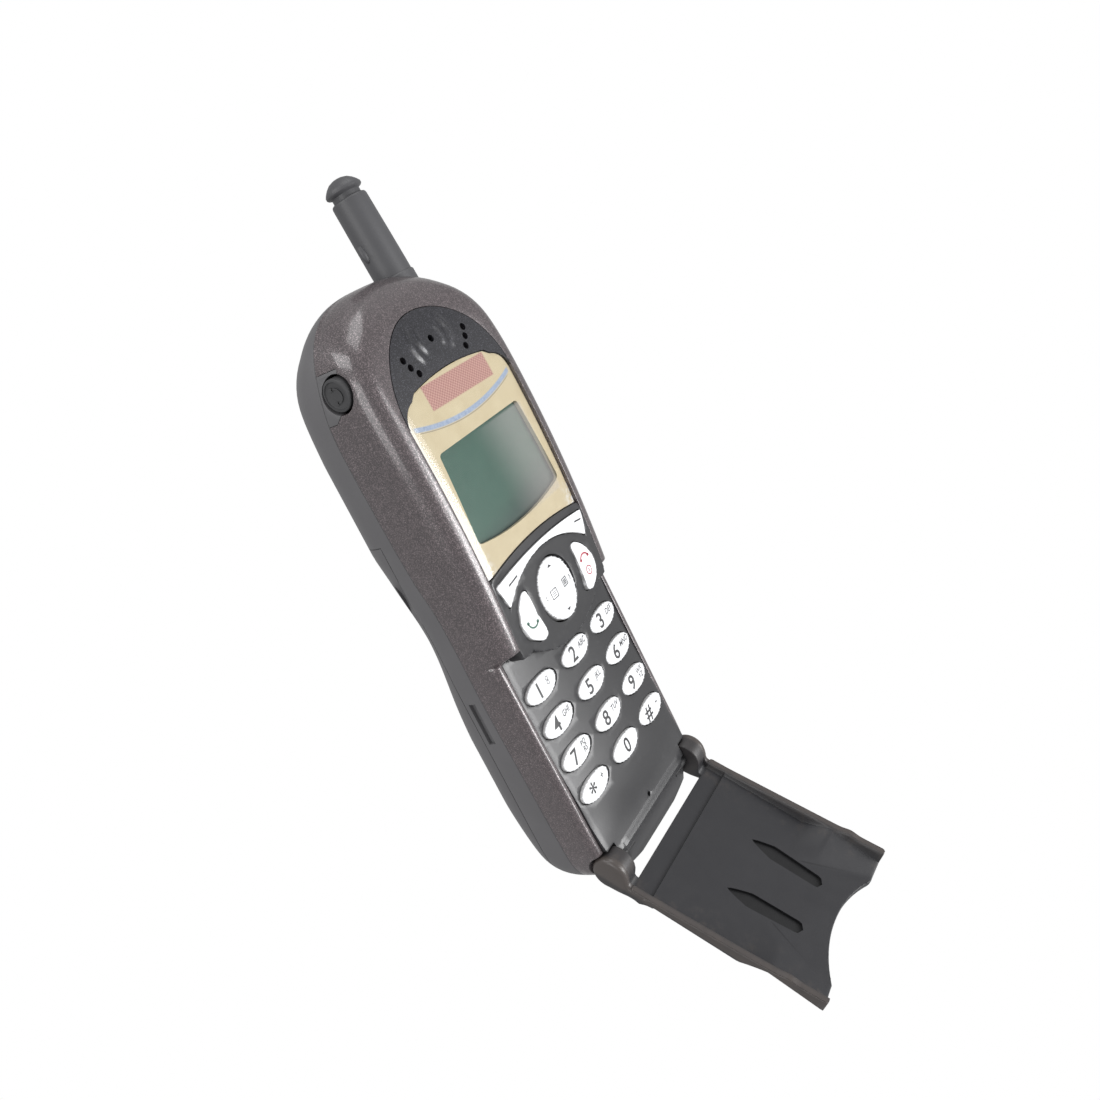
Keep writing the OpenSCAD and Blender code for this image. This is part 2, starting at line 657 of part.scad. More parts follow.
// ---- plates and window ----
module earpiece_plate() color([0.13, 0.13, 0.14]) difference() {
    union() {
        intersection() {
            face_band(window_top_y - 8, crown_y - 6, 0, plate_t);
            upright(0, well_top) difference() {
                face_opening(-fit_gap / 2);
                offset(delta = fit_gap) window_top_form();
                translate([-half_body, step_y - 5]) square([body_w, window_top_y - window_corner - step_y + 4]);
            }
        }
    }
    for (p = concat([[0, crown_y - 14.1]], sound_places, [for (p = sound_places) [-p[0], p[1]]]))
        post(sound_hole_r, p[0], p[1], deck_h - 4, well_top);
}
sound_places = [[10.1, crown_y - 15.2], [9.3, crown_y - 17], [8, crown_y - 18.7]];

module display_window() color([0.78, 0.7, 0.55]) intersection() {
    face_band(window_bottom_y - 1, window_top_y + 1, 0, plate_t);
    upright(0, well_top) intersection() {
        offset(delta = -fit_gap / 2) window_top_form();
        above_window_edge(0);
    }
}

// ---- display ----
glass_t = 1.5;
glass_rim = 0.7;
// The flat glass all but touches the curved window at its upper end
glass_gap = 0.015296;
glass_top = dome_z(lcd_high + glass_rim) - plate_t - glass_gap;
holder_rim = 3.5;
holder_step = 0.25;
holder_half = lcd_half + 1.6;
module lcd_glass() color([0.12, 0.25, 0.2])
    block(-lcd_half - glass_rim, lcd_half + glass_rim, lcd_low - glass_rim,
        lcd_high + glass_rim, glass_top - glass_t, glass_top);
module lcd_holder() color([0.75, 0.75, 0.72]) difference() {
    union() {
        block(-holder_half, holder_half, lcd_low - holder_rim, lcd_high + holder_rim,
            board_top, glass_top - glass_t - holder_step);
        block(-lcd_half - glass_rim, lcd_half + glass_rim, lcd_low - glass_rim,
            lcd_high + glass_rim, board_top, glass_top - glass_t - touch);
    }
    // notches for the holder's clips
    both_sides() block(holder_half - 2, holder_half + over, lcd_y - 3, lcd_y + 3, board_z, board_z + board_t + 1.5);
}

// ---- electronics ----
board_half = half_body - 3.7;
// Inner end of the headset socket
jack_end = jack_face + 7.7;
board_low = hinge_y + 1.9;
board_high = crown_y - 17;
whip_slot_y = antenna_y + (17.3 - whip_len + 3.2) * cos(antenna_lean);
module through_board(x0, x1, y0, y1) block(x0, x1, y0, y1, board_z - over, board_z + over);
module circuit_board() color([0.1, 0.35, 0.2]) difference() {
    block(-board_half, board_half, board_low, board_high, board_z, board_z + board_t);
    for (y = screw_ys) both_sides() post(post_r + 0.4, screw_x, y, board_z - over, board_z + over);
    both_sides() through_board(ear_in - 2, board_half + over, board_low - over, hinge_y + notch_r + 0.6);
    through_board(-board_half - over, jack_end + 0.5, jack_y - 4.6, board_high + over);
    through_board(antenna_x - 1.8, antenna_x + 1.8, whip_slot_y, whip_slot_y + 14);
    both_sides() through_board(connector_half - 0.5, connector_half + 0.7, board_low - over, board_low + 2);
}
sheet_t = 0.2;
mat_z = board_top + sheet_t;
mat_t = 0.7;
mat_half = col_pitch + 2.9;
mat_low = row_last_y - 5;
mat_high = window_bottom_y - 1.7;
dome_r = 2.3;
module dome_sheet() color([0.8, 0.8, 0.78]) {
    block(-mat_half + 0.5, mat_half - 0.5, mat_low + 0.5, mat_high - 0.5, board_top - touch, mat_z - seat);
}
module key_mat() color([0.7, 0.72, 0.72]) {
    block(-mat_half, mat_half, mat_low, mat_high, mat_z, mat_z + mat_t);
    for (k = digit_keys) translate([key_x(k), key_y(k), 0])
        upright(mat_z, deck_z(key_y(k)) - panel_t - flange_drop - flange_t - key_travel - seat)
            polygon(oval_points(key_w / 2, key_l - 1.8));
    under = face_z(nav_y) - panel_t - cluster_flange_drop - flange_t - key_travel - seat;
    both_sides() post(1.6, call_middle * half_plate, nav_y - 0.5, mat_z, under);
    both_sides() post(1.2, 0.7 * half_plate, window_bottom_y - 3.7, mat_z, soft_under - 0.35);
    post(0.5, 0, soft_rib_y - soft_rib_l / 2, mat_z, soft_under - rock_r - touch);
    for (a = [0 : 90 : 270]) translate([0, nav_y, 0]) rotate([0, 0, a])
        post(1.3, nav_w / 2 - 2.2, 0, mat_z, under + 0.28);
    post(1, 0, nav_y, mat_z, nav_axis_z - rock_r - touch);
}
contact_half = 6.6;
contact_y = pack_y - 3.55;
backup_y = crown_y - 54.3;
can_t = 0.3;
rf_h = 3.5;
rf_low = contact_y + 2.45;
rf_high = board_high - 4.9;
module rf_shield() color([0.75, 0.75, 0.77])
    shield_can(-board_half + 4.3, board_half - 14.3, rf_low, rf_high, board_z - rf_h);
baseband_h = 2.6;
baseband_low = row_last_y + 7;
baseband_high = backup_y - 10;
module baseband_shield() color([0.75, 0.75, 0.77])
    shield_can(-board_half + 5.3, board_half - 5.3, baseband_low, baseband_high, board_z - baseband_h);
module shield_can(x0, x1, y0, y1, z0) difference() {
    block(x0, x1, y0, y1, z0, board_z - touch);
    block(x0 + can_t, x1 - can_t, y0 + can_t, y1 - can_t, z0 + can_t, board_z + over);
}
earpiece_r = 6;
earpiece_y = crown_y - 18.5;
earpiece_h = 2.15;
module earpiece() color([0.2, 0.2, 0.2]) {
    post(earpiece_r, 0, earpiece_y, board_top, board_top + earpiece_h);
    post(earpiece_r - 1.4, 0, earpiece_y, board_top, board_top + earpiece_h + 0.5);
}
mic_r = 1.4;
mic_h = 1.95;
module microphone() color([0.8, 0.8, 0.78]) post(mic_r, 0, mic_y, board_top, board_top + mic_h);
module mic_boot() color([0.1, 0.1, 0.1]) difference() {
    post(mic_r + 0.6, 0, mic_y, board_top, board_top + mic_h + 1.3);
    post(mic_r + touch, 0, mic_y, board_z, board_top + mic_h + seat);
    post(mic_r / 2, 0, mic_y, board_z, board_top + mic_h + over);
}
ringer_r = 4.6;
ringer_h = 2.8;
ringer_x = board_half - 8.3;
ringer_y = row_last_y - 1;
module ringer() color([0.15, 0.15, 0.15]) difference() {
    post(ringer_r, ringer_x, ringer_y, board_z - ringer_h, board_z - seat);
    post(0.6, ringer_x, ringer_y, board_z - ringer_h - over, board_z - ringer_h / 2);
}
motor_y = row_last_y - 3.5;
motor_r = 2.1;
motor_z = board_z - motor_r - 0.2;
motor_x = 4.3 - board_half;
motor_l = 9;
weight_x = motor_x + motor_l + 0.3;
weight_l = 3;
shaft_r = 0.4;
module vibration_motor() color([0.75, 0.75, 0.77]) difference() {
    axle(motor_r, motor_x, motor_x + motor_l, motor_y, motor_z);
    axle(shaft_r + seat, motor_x + motor_l - 2, motor_x + motor_l + over, motor_y, motor_z);
}
module vibration_weight() color([0.6, 0.58, 0.5]) {
    axle(shaft_r, motor_x + motor_l - 1.9, weight_x + weight_l + 0.1, motor_y, motor_z);
    difference() {
        axle(motor_r - 0.1, weight_x, weight_x + weight_l, motor_y, motor_z);
        block(weight_x - over, weight_x + weight_l + over, motor_y - over, motor_y + over,
            motor_z + 0.2, motor_z + over);
    }
}
module backup_cell() color([0.8, 0.8, 0.8]) post(3.4, 9, backup_y, board_z - 1.7, board_z - seat);
module system_connector() color([0.1, 0.1, 0.1]) difference() {
    block(-connector_half, connector_half, chin_y + 0.5, connector_end, connector_z + seat, board_z - seat);
    block(-connector_half + 1, connector_half - 1, chin_y - over, chin_y + 3.5, connector_z + 1.2, board_z - 1.2);
}
module battery_contacts() color([0.85, 0.7, 0.35])
    for (i = [-1.5 : 1 : 1.5]) block(i * 4 - 0.5, i * 4 + 0.5, contact_y - 0.4, contact_y + 0.4, bay_h - 0.8, board_z - seat);
jack_bore_r = 1.25;
module headset_jack() color([0.1, 0.1, 0.1]) difference() {
    block(jack_face, jack_end, jack_y - 3, jack_y + 2.4, jack_z - 3, jack_z + 2.9);
    axle(jack_bore_r, jack_face - over, jack_end - 1, jack_y, jack_z);
}
plug_face = -half_body + 0.5;
plug_groove = 0.4;
module jack_plug() color([0.1, 0.1, 0.1]) difference() {
    union() {
        axle(plug_r - plug_gap, plug_face, jack_face - 0.3, jack_y, jack_z);
        axle(jack_bore_r - plug_gap, jack_face - 1, jack_face + 2.7, jack_y, jack_z);
    }
    // ring groove round the middle of its face
    difference() {
        axle(plug_r - 0.5, plug_face - over, plug_face + plug_groove, jack_y, jack_z);
        axle(plug_r - 0.5 - plug_groove, plug_face - over, plug_face + over, jack_y, jack_z);
    }
}

// ---- antenna ----
collar_rim = 0.3;
cap_r = stub_r - 0.1;
cap_h = 4.3;
cap_points = [[0, 0], [3.2, 0], [3.2, 1.5], [cap_r, 1.8], [cap_r, 2.3],
    [cap_r - 0.5, 3], [cap_r - 1.6, 3.7], [cap_r - 2.8, 4.1], [0, cap_h]];
module antenna_collar() color([0.12, 0.12, 0.12]) along_antenna() difference() {
    union() {
        turned(collar_r, seat - collar_deep, collar_top - collar_rim);
        translate([0, 0, collar_top - collar_rim]) cylinder(r1 = collar_r, r2 = collar_r - 0.2, h = collar_rim, $fn = 72);
    }
    turned(thread_r, -thread_deep, over);
}
stub_top = collar_top + stub_len;
whip_gap = 0.08;
whip_foot_r = whip_r + 0.5;
whip_in = whip_len - cap_h;
nib_at = 6;
nib_r = 0.95;
module antenna_stub() color([0.13, 0.13, 0.14]) along_antenna() {
    stub_form();
    // nib on the left side
    translate([0.2 - stub_r, 0, nib_at]) {
        translate([0, 0, -2]) cylinder(r1 = 0.2, r2 = nib_r, h = 1.5, $fn = 32);
        translate([0, 0, -0.51]) cylinder(r = nib_r, h = 0.7, $fn = 32);
        translate([0, 0, 0.18]) cylinder(r1 = nib_r, r2 = 0.2, h = 1, $fn = 32);
    }
}
module stub_form() rotate_extrude($fn = 72) polygon([
    [whip_r + whip_gap, -thread_deep], [thread_r - touch, -thread_deep], [thread_r - touch, collar_top + touch],
    [stub_r, collar_top + touch],
    [stub_r, collar_top + 2], [stub_r * 0.95, stub_top - 0.5], [stub_r * 0.95 - 0.5, stub_top],
    [whip_r + whip_gap, stub_top]]);
module antenna_whip() color([0.13, 0.13, 0.14]) along_antenna() {
    translate([0, 0, stub_top + touch]) rotate_extrude($fn = 72) polygon(cap_points);
    translate([0, 0, stub_top - whip_in]) cylinder(r = whip_r, h = whip_in + 1, $fn = 36);
    translate([0, 0, stub_top - whip_in]) cylinder(r = whip_foot_r, h = 2, $fn = 36);
}
clip_y = antenna_y - thread_deep * cos(antenna_lean) - 0.5;
module antenna_clip() color([0.8, 0.75, 0.5]) {
    block(antenna_x - 1.5, antenna_x + 1.5, board_high - 4, clip_y, board_z - 0.65, board_z - seat);
    block(antenna_x - 1.5, antenna_x + 1.5, clip_y - 0.4, clip_y, antenna_z + 2.7, board_z - seat);
}

// ---- battery ----
latch_y = pack_y + 2;
latch_l = 4.2;
latch_travel = 1.4;
latch_gap = 0.2;
latch_h = 1.1;
latch_flange = 1.5;
latch_nose = 6;
cell_low = chin_y + 14;
cell_high = pack_y - 38.05;
cell_half = half_body - 5.5;
cell_z = 2;
pack_lid = 1.2;
finger_r = 9;
finger_y = pack_y - 13.05;
module battery_pack() color([0.2, 0.2, 0.21]) difference() {
    intersection() {
        lower_form();
        block(-half_body - over, half_body + over, chin_y - over, pack_y - fit_gap, -over, bay_h - fit_gap);
    }
    block(-cell_half - seat, cell_half + seat, cell_low - seat, cell_high + seat, cell_z - seat, bay_h - pack_lid);
    bay_end(fit_gap);
    block(-contact_half - 0.8, contact_half + 0.8, contact_y - 1.2, pack_y + over, bay_h - pack_lid, bay_h + over);
    // finger notches where the pack is pushed off
    both_sides() translate([half_body + finger_r - 1.8, finger_y, 5]) cylinder(r = finger_r, h = 4, $fn = 72);
}
module battery_cell() color([0.7, 0.7, 0.72])
    block(-cell_half, cell_half, cell_low, cell_high, cell_z, bay_h - pack_lid - seat);
nose_foot = 0.4;
function nose_y(z) = pack_y + seat - end_in * (1 - z / end_up);
module battery_latch() color([0.18, 0.18, 0.19]) {
    block(-latch_w / 2, latch_w / 2, latch_y, latch_y + latch_l, 0.2, wall + 0.5);
    block(-latch_w / 2 - latch_flange, latch_w / 2 + latch_flange, latch_y, latch_y + latch_l, wall + fit_gap,
        wall + latch_h);
    // nose under the pack's leaning end
    across([[nose_y(nose_foot), nose_foot], [latch_y + 1, nose_foot], [latch_y + 1, wall + latch_h],
        [nose_y(wall + latch_h), wall + latch_h]], latch_nose);
}

// ---- fasteners ----
module case_screws() color([0.6, 0.6, 0.62]) for (y = screw_ys) both_sides() {
    post(head_r, screw_x, y, bay_h + seat, bay_h + seat + head_h);
    post(screw_r, screw_x, y, bay_h + seat, board_z + board_t + 0.2);
}

// ---- flip ----
// The flip is drawn closed in its own frame: y runs from the hinge axis to the tip, z outwards
flip_closed = 1;
lip_t = 1.6;
floor_slope = 0.02;
floor_in = 1;
bar_in = 5.4;
bar_step = 10;
tip_dip = 4;
tip_arc_r = 30;
flip_w = 2 * flip_half;
// wall of the ear outside the blind pin hole
ear_skin = 1;
groove_u = 31.5;
groove_x = 7;
groove_w = 3;
groove_l = 17;
groove_deep = 0.5;
module in_flip() translate([0, hinge_y, hinge_h]) rotate([flip_closed + flip_open, 0, 0]) children();
function floor_z(u) = floor_in + floor_slope * u;
module flip_plan() difference() {
    offset(r = 1.2) offset(delta = -1.2) translate([-flip_half, -12]) square([flip_w, flip_len + 12]);
    translate([0, flip_len - tip_dip + tip_arc_r]) circle(r = tip_arc_r, $fn = 120);
}
module flip_section() offset(r = 2.2) offset(delta = -2.2)
    translate([-flip_half, -12]) square([flip_w, 12 + floor_z(flip_len / 2) + flip_t + 0.3]);
module flip_cover() color([0.12, 0.12, 0.13]) in_flip() difference() {
    union() {
        intersection() {
            union() {
                // floor
                across([[bar_in, floor_z(bar_in) + 0.5], [bar_step, floor_z(bar_step) + 0.5], [bar_step, floor_z(bar_step)],
                    [flip_len, floor_z(flip_len)], [flip_len, floor_z(flip_len) + flip_t],
                    [bar_in, floor_z(bar_in) + flip_t + 0.2]], flip_w);
                // lips down both long sides
                both_sides() translate([flip_half - lip_t / 2, 0, 0]) across([[5, 0.2], [bar_step, 0.1],
                    [flip_len, -1.75], [flip_len, floor_z(flip_len) + flip_t], [5, floor_z(5) + flip_t + 0.3]], lip_t);
            }
            upright(-10, 10) flip_plan();
            rotate([90, 0, 0]) translate([0, 0, -60]) linear_extrude(80) flip_section();
        }
        // ears that end in the knuckles
        both_sides() translate([(ear_in + flip_half) / 2, 0, 0])
            across([[0, knuckle_r], [bar_step, floor_z(bar_step) + flip_t], [bar_step, floor_z(bar_step)],
                [notch_r + 0.3, floor_z(bar_step)], [3, 0], [0, 0]], flip_half - ear_in);
        both_sides() axle(knuckle_r, ear_in, flip_half, 0, 0);
    }
    both_sides() axle(pin_r, ear_in - over, flip_half - ear_skin, 0, 0);
    // long thumb recesses in the floor
    both_sides() translate([groove_x, groove_u, floor_z(groove_u) - 2 + groove_deep]) linear_extrude(2)
        polygon(oval_points(groove_w, groove_l));
}
module hinge_pins() color([0.7, 0.7, 0.72]) both_sides()
    axle(pin_r, tongue_half - bore_deep + 0.5, flip_half - ear_skin - seat, hinge_y, hinge_h);

front_housing();
rear_housing();
key_panel();
earpiece_plate();
display_window();
lcd_glass();
lcd_holder();
circuit_board();
key_mat();
dome_sheet();
for (k = digit_keys) digit_key(k);
nav_key();
soft_key_bar();
call_key();
end_key();
flip_cover();
hinge_pins();
antenna_collar();
antenna_stub();
antenna_whip();
antenna_clip();
jack_plug();
headset_jack();
earpiece();
microphone();
mic_boot();
rf_shield();
baseband_shield();
ringer();
vibration_motor();
vibration_weight();
backup_cell();
system_connector();
battery_contacts();
battery_pack();
battery_cell();
battery_latch();
case_screws();
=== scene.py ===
import math

import bmesh
import bpy
from mathutils import Matrix, Vector


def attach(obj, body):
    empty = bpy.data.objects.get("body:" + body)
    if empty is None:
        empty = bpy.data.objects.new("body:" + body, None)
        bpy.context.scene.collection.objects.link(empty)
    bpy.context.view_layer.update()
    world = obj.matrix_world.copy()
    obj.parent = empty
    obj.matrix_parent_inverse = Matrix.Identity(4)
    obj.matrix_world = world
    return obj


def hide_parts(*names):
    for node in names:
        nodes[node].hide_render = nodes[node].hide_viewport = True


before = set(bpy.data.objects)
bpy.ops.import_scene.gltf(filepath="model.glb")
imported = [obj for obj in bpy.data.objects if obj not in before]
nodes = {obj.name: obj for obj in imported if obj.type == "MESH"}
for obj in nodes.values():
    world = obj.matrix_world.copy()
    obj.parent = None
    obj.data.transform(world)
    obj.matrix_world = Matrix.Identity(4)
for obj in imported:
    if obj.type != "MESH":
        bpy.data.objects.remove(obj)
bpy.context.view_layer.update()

MM = 0.001

# ---------------------------------------------------------------- sizes, in millimetres, as in the part's source
CHIN_Y, CROWN_Y = -66.75, 66.75
HALF_BODY, HALF_PLATE = 23.0, 17.9
HINGE_Y, HINGE_H = -62.0, 21.4
ROW_LAST_Y, ROW_PITCH, COL_PITCH = -44.75, 8.4, 13.7
CHIN_END_Y = HINGE_Y + 1.6
FRONT_H, FRONT_R, CREST_Y = 25.2, 300.0, 18.0
SEAM_H, WALL, FACE_T, PLATE_T, PANEL_T = 12.6, 1.7, 2.5, 1.2, 1.2
EDGE_R, BACK_R, RIM_W, RIM_EDGE_R = 4.2, 7.0, 2.6, 1.5
WINDOW_TOP_Y, WINDOW_BOTTOM_Y = 46.65, 7.15
WINDOW_TOP_SAG, WINDOW_BOTTOM_SAG, WINDOW_CORNER = 2.7, 1.8, 5.4
STEP_Y, NAV_Y, STEP_SLOPE = -9.65, -4.35, 1.4
PACK_Y, BAY_H = 21.05, 7.6
JACK_Y, JACK_Z, PLUG_R = 51.35, 15.8, 3.7
WELL_TOP, DECK_H, RIDGE_H = 30.2, 20.6, 22.9
FIT_GAP, KEY_GAP, SEAM_GROOVE = 0.15, 0.25, 0.14
KNUCKLE_R, NOTCH_R, EAR_IN, PIN_R = 4.0, 4.6, 17.2, 1.1
CHIN_TOP = HINGE_H - PIN_R - 0.5
TONGUE_HALF, TONGUE_OVER, TONGUE_ARC_R = 16.8, 1.2, 46.0
FLIP_LEN, FLIP_HALF, FLIP_T, LIP_T, BAR_STEP, BAR_IN = 49.5, 22.2, 1.4, 1.6, 10.0, 5.4
DECK_CROWN = 0.5
ANTENNA_X, ANTENNA_Y, ANTENNA_Z, ANTENNA_LEAN = 12.0, 66.15, 10.8, 6.0
STUB_R, STUB_LEN, COLLAR_TOP = 4.1, 17.6, -0.3
KEY_W, KEY_L, KEY_PROUD = 10.9, 5.2, 0.65

BACK_LINE = [(CHIN_Y, 4.2), (CHIN_Y + 9, 2), (CHIN_Y + 20, 0.3), (CHIN_Y + 33, -0.3), (-20, 0.5), (-2, 2.9), (12, 1.1),
             (21, -0.2), (33, -0.3), (44, 0.3), (54, 1.0), (CROWN_Y, 3.6)]
SEAM_LINE = [(CHIN_Y, SEAM_H + 1.2), (CHIN_Y + 20, SEAM_H + 0.7), (-18, SEAM_H), (3, SEAM_H), (13, SEAM_H - 1.3),
             (28, SEAM_H - 2), (44, SEAM_H - 2.1), (56, SEAM_H - 0.6), (CROWN_Y, SEAM_H - 0.5)]
DECK_LINE = [(HINGE_Y + 1.5, RIDGE_H - 0.4), (HINGE_Y + 5, RIDGE_H - 0.7), (ROW_LAST_Y, DECK_H + 1.2),
             (ROW_LAST_Y + ROW_PITCH, DECK_H + 0.6), (ROW_LAST_Y + 2 * ROW_PITCH, DECK_H + 0.2),
             (ROW_LAST_Y + 3 * ROW_PITCH, DECK_H), (STEP_Y, DECK_H)]
RIM_LINE = [(CHIN_Y, HINGE_H + 0.1), (HINGE_Y + 10, HINGE_H - 0.3), (STEP_Y, HINGE_H - 1.4)]


# ---------------------------------------------------------------- the body's curves
def secant(p, i, j):
    return (p[j][1] - p[i][1]) / (p[j][0] - p[i][0])


def curve(p, y):
    """A smooth line through the points, as in the part's source."""
    i = 0
    while i < len(p) - 2 and y > p[i + 1][0]:
        i += 1
    h = p[i + 1][0] - p[i][0]
    t = (y - p[i][0]) / h
    a, b, c = 1 - 3 * t * t + 2 * t ** 3, t - 2 * t * t + t ** 3, t ** 3 - t * t
    m0 = secant(p, max(i - 1, 0), i + 1)
    m1 = secant(p, i, min(i + 2, len(p) - 1))
    return a * p[i][1] + (1 - a) * p[i + 1][1] + h * (b * m0 + c * m1)


def round_end(s, p):
    return 1 if s <= 0 else max(0, 1 - min(s, 1) ** p) ** (1 / p)


CROWN_START, CROWN_SIDE_START = CROWN_Y - 16.8, CROWN_Y - 27
CHIN_START, CHIN_SIDE_START = CHIN_Y + 11, CHIN_Y + 16.8


def crown(y, t=0):
    return round_end((y - CROWN_START) / (CROWN_Y - t - CROWN_START), 2.4)


def chin(y, t=0):
    return round_end((CHIN_START - y) / (CHIN_START - CHIN_Y - t), 2.6)


def seam_z(y):
    return curve(SEAM_LINE, y)


def dome_z(y):
    return FRONT_H - (y - CREST_Y) ** 2 / (2 * FRONT_R)


def face_z(y, t=0):
    return seam_z(y) + (dome_z(y) - t - seam_z(y)) * crown(y, t)


def top_z(y, t=0):
    if y <= STEP_Y:
        return curve(RIM_LINE, y) - t
    return face_z(y, t) - max(0, 1 - (y - STEP_Y) / STEP_SLOPE) * (dome_z(y) - curve(RIM_LINE, y))


def bottom_z(y, t=0):
    back = max(0, curve(BACK_LINE, y)) + t
    return seam_z(y) - (seam_z(y) - back) * crown(y, t) * chin(y, t)


def half_w(y, t=0):
    return (HALF_BODY - t) * round_end((y - CROWN_SIDE_START) / (CROWN_Y - t - CROWN_SIDE_START), 2.9) \
        * round_end((CHIN_SIDE_START - y) / (CHIN_SIDE_START - CHIN_Y - t), 4.5)


def deck_z(x, y):
    """The key panel's top, crowned across the phone."""
    return curve(DECK_LINE, y) + DECK_CROWN * (1 - (x / COL_PITCH) ** 2) * min(1, max(0, (y - HINGE_Y - 5) / 6))


def grown(r, y, share=0.55):
    return r + HALF_BODY * (1 - crown(y)) * share


def front_edge(y):
    return RIM_EDGE_R if y <= STEP_Y else grown(EDGE_R, y)


def spread(a, b, n):
    return [a + (b - a) * i / n for i in range(n + 1)]


def low_end(tip, start, n):
    return [start - (start - tip) * math.sin(math.radians(88.8 * (1 - i / n))) for i in range(n)]


def high_end(start, tip, n):
    return [start + (tip - start) * math.sin(math.radians(88.8 * i / n)) for i in range(1, n + 1)]


BODY_STATIONS = low_end(CHIN_Y, CHIN_SIDE_START, 20) + spread(CHIN_SIDE_START, STEP_Y - 0.02, 20) \
    + [STEP_Y + 0.4, STEP_Y + 0.9, STEP_Y + STEP_SLOPE] + spread(STEP_Y + 2.4, CROWN_SIDE_START, 28) \
    + high_end(CROWN_SIDE_START, CROWN_Y, 28)


def section(w, base, top, lean, rx, rz, side=1, steps=12, groove=0.0):
    """Half a body's section: up from the base, round both corners and down again."""
    s, h = (1 if top > base else -1), abs(top - base)
    a, b = min(rx, 0.92 * w), min(rz, 0.92 * h)
    x = max(w - lean, a)
    arc = [(x - a + a * math.cos(t), top - s * b + s * b * math.sin(t)) for t in spread(0, math.pi / 2, steps)]
    foot = [(w - groove, base), (w, base + s * groove)] if groove else [(w, base)]
    half = foot + arc
    return [(side * px, pz) for px, pz in half + [(-px, pz) for px, pz in reversed(half)]]


# ---------------------------------------------------------------- mesh helpers
def to_piece(bm, name, smooth=32, scaled=False):
    """Makes the mesh, in millimetres, a piece of the scene in metres."""
    if not scaled:
        bmesh.ops.scale(bm, vec=(MM, MM, MM), verts=bm.verts)
    bmesh.ops.recalc_face_normals(bm, faces=bm.faces)
    mesh = bpy.data.meshes.new(name)
    bm.to_mesh(mesh)
    bm.free()
    mesh.polygons.foreach_set("use_smooth", [True] * len(mesh.polygons))
    mesh.set_sharp_from_angle(angle=math.radians(smooth))
    piece = bpy.data.objects.new(name, mesh)
    bpy.context.scene.collection.objects.link(piece)
    return piece


def loft(name, rings, smooth=32):
    """A closed solid through rings of points, each ring with as many points as the others."""
    bm = bmesh.new()
    made = bmesh.ops.create_circle(bm, cap_ends=False, segments=len(rings[0]), radius=1)
    verts = made["verts"]
    for v, p in zip(verts, rings[0]):
        v.co = p
    edges = list(bm.edges)
    first = list(edges)
    for ring in rings[1:]:
        index = {v.co.to_tuple(5): i for i, v in enumerate(verts)}
        made = bmesh.ops.extrude_edge_only(bm, edges=edges)["geom"]
        verts = sorted((g for g in made if isinstance(g, bmesh.types.BMVert)), key=lambda v: index[v.co.to_tuple(5)])
        edges = [g for g in made if isinstance(g, bmesh.types.BMEdge)]
        for v, p in zip(verts, ring):
            v.co = p
    for loop in (first, edges):
        bmesh.ops.contextual_create(bm, geom=loop)
    return to_piece(bm, name, smooth)


def body_loft(name, stations, ring):
    """A loft along the phone: ring(y) gives the [x, z] points at y."""
    return loft(name, [[(x, y, z) for x, z in ring(y)] for y in stations])


def polygon(bm, points):
    verts = bmesh.ops.create_circle(bm, cap_ends=True, segments=len(points), radius=1)["verts"]
    for v, p in zip(verts, points):
        v.co = (p[0], p[1], 0)


def cut_at(bm, axis, places):
    normal = [0, 0, 0]
    normal[axis] = 1
    for s in places:
        at = [0, 0, 0]
        at[axis] = s
        bmesh.ops.bisect_plane(bm, geom=bm.verts[:] + bm.edges[:] + bm.faces[:], dist=1e-5, plane_co=at, plane_no=normal)


def inner_steps(points, axis, step):
    low, high = min(p[axis] for p in points), max(p[axis] for p in points)
    n = max(1, round((high - low) / step))
    return spread(low, high, n)[1:-1]


def plate(name, outline, top, bottom, step=2.0, rim=0.0, foot=0.0, cuts_x=(), cuts_y=(), smooth=32, segments=3):
    """A solid over an outline whose top and bottom follow the two functions of x and y."""
    bm = bmesh.new()
    polygon(bm, outline)
    if step:
        for axis in (0, 1):
            cut_at(bm, axis, inner_steps(outline, axis, step))
    cut_at(bm, 0, cuts_x)
    cut_at(bm, 1, cuts_y)
    low = set(bm.verts)
    bmesh.ops.extrude_face_region(bm, geom=bm.faces[:], use_keep_orig=True)
    for v in bm.verts:
        v.co.z = bottom(v.co.x, v.co.y) if v in low else top(v.co.x, v.co.y)
    for width, is_low in ((rim, False), (foot, True)):
        if width:
            edges = [e for e in bm.edges if all((v in low) == is_low for v in e.verts)
                     and any(len({v in low for v in f.verts}) == 2 for f in e.link_faces)]
            bmesh.ops.bevel(bm, geom=edges, offset=width, offset_type="OFFSET", segments=segments, profile=0.5,
                            affect="EDGES", material=-1, clamp_overlap=False)
    return to_piece(bm, name, smooth)


def flat(z):
    return lambda x, y: z


def box(name, x0, x1, y0, y1, z0, z1):
    return plate(name, [(x0, y0), (x1, y0), (x1, y1), (x0, y1)], flat(z1), flat(z0), step=0)


def rod(name, r, start, end, segments=64, rim=0.0, r2=None):
    """A round solid from start to end."""
    start, end = Vector(start), Vector(end)
    bm = bmesh.new()
    bmesh.ops.create_cone(bm, cap_ends=True, segments=segments, radius1=r, radius2=r if r2 is None else r2,
                          depth=(end - start).length)
    if rim:
        edges = [e for e in bm.edges if any(len(f.verts) > 4 for f in e.link_faces)]
        bmesh.ops.bevel(bm, geom=edges, offset=rim, offset_type="OFFSET", segments=3, profile=0.5, affect="EDGES",
                        material=-1)
    turn = Vector((0, 0, 1)).rotation_difference(end - start).to_matrix().to_4x4()
    bmesh.ops.transform(bm, matrix=Matrix.Translation((start + end) / 2) @ turn, verts=bm.verts)
    return to_piece(bm, name)


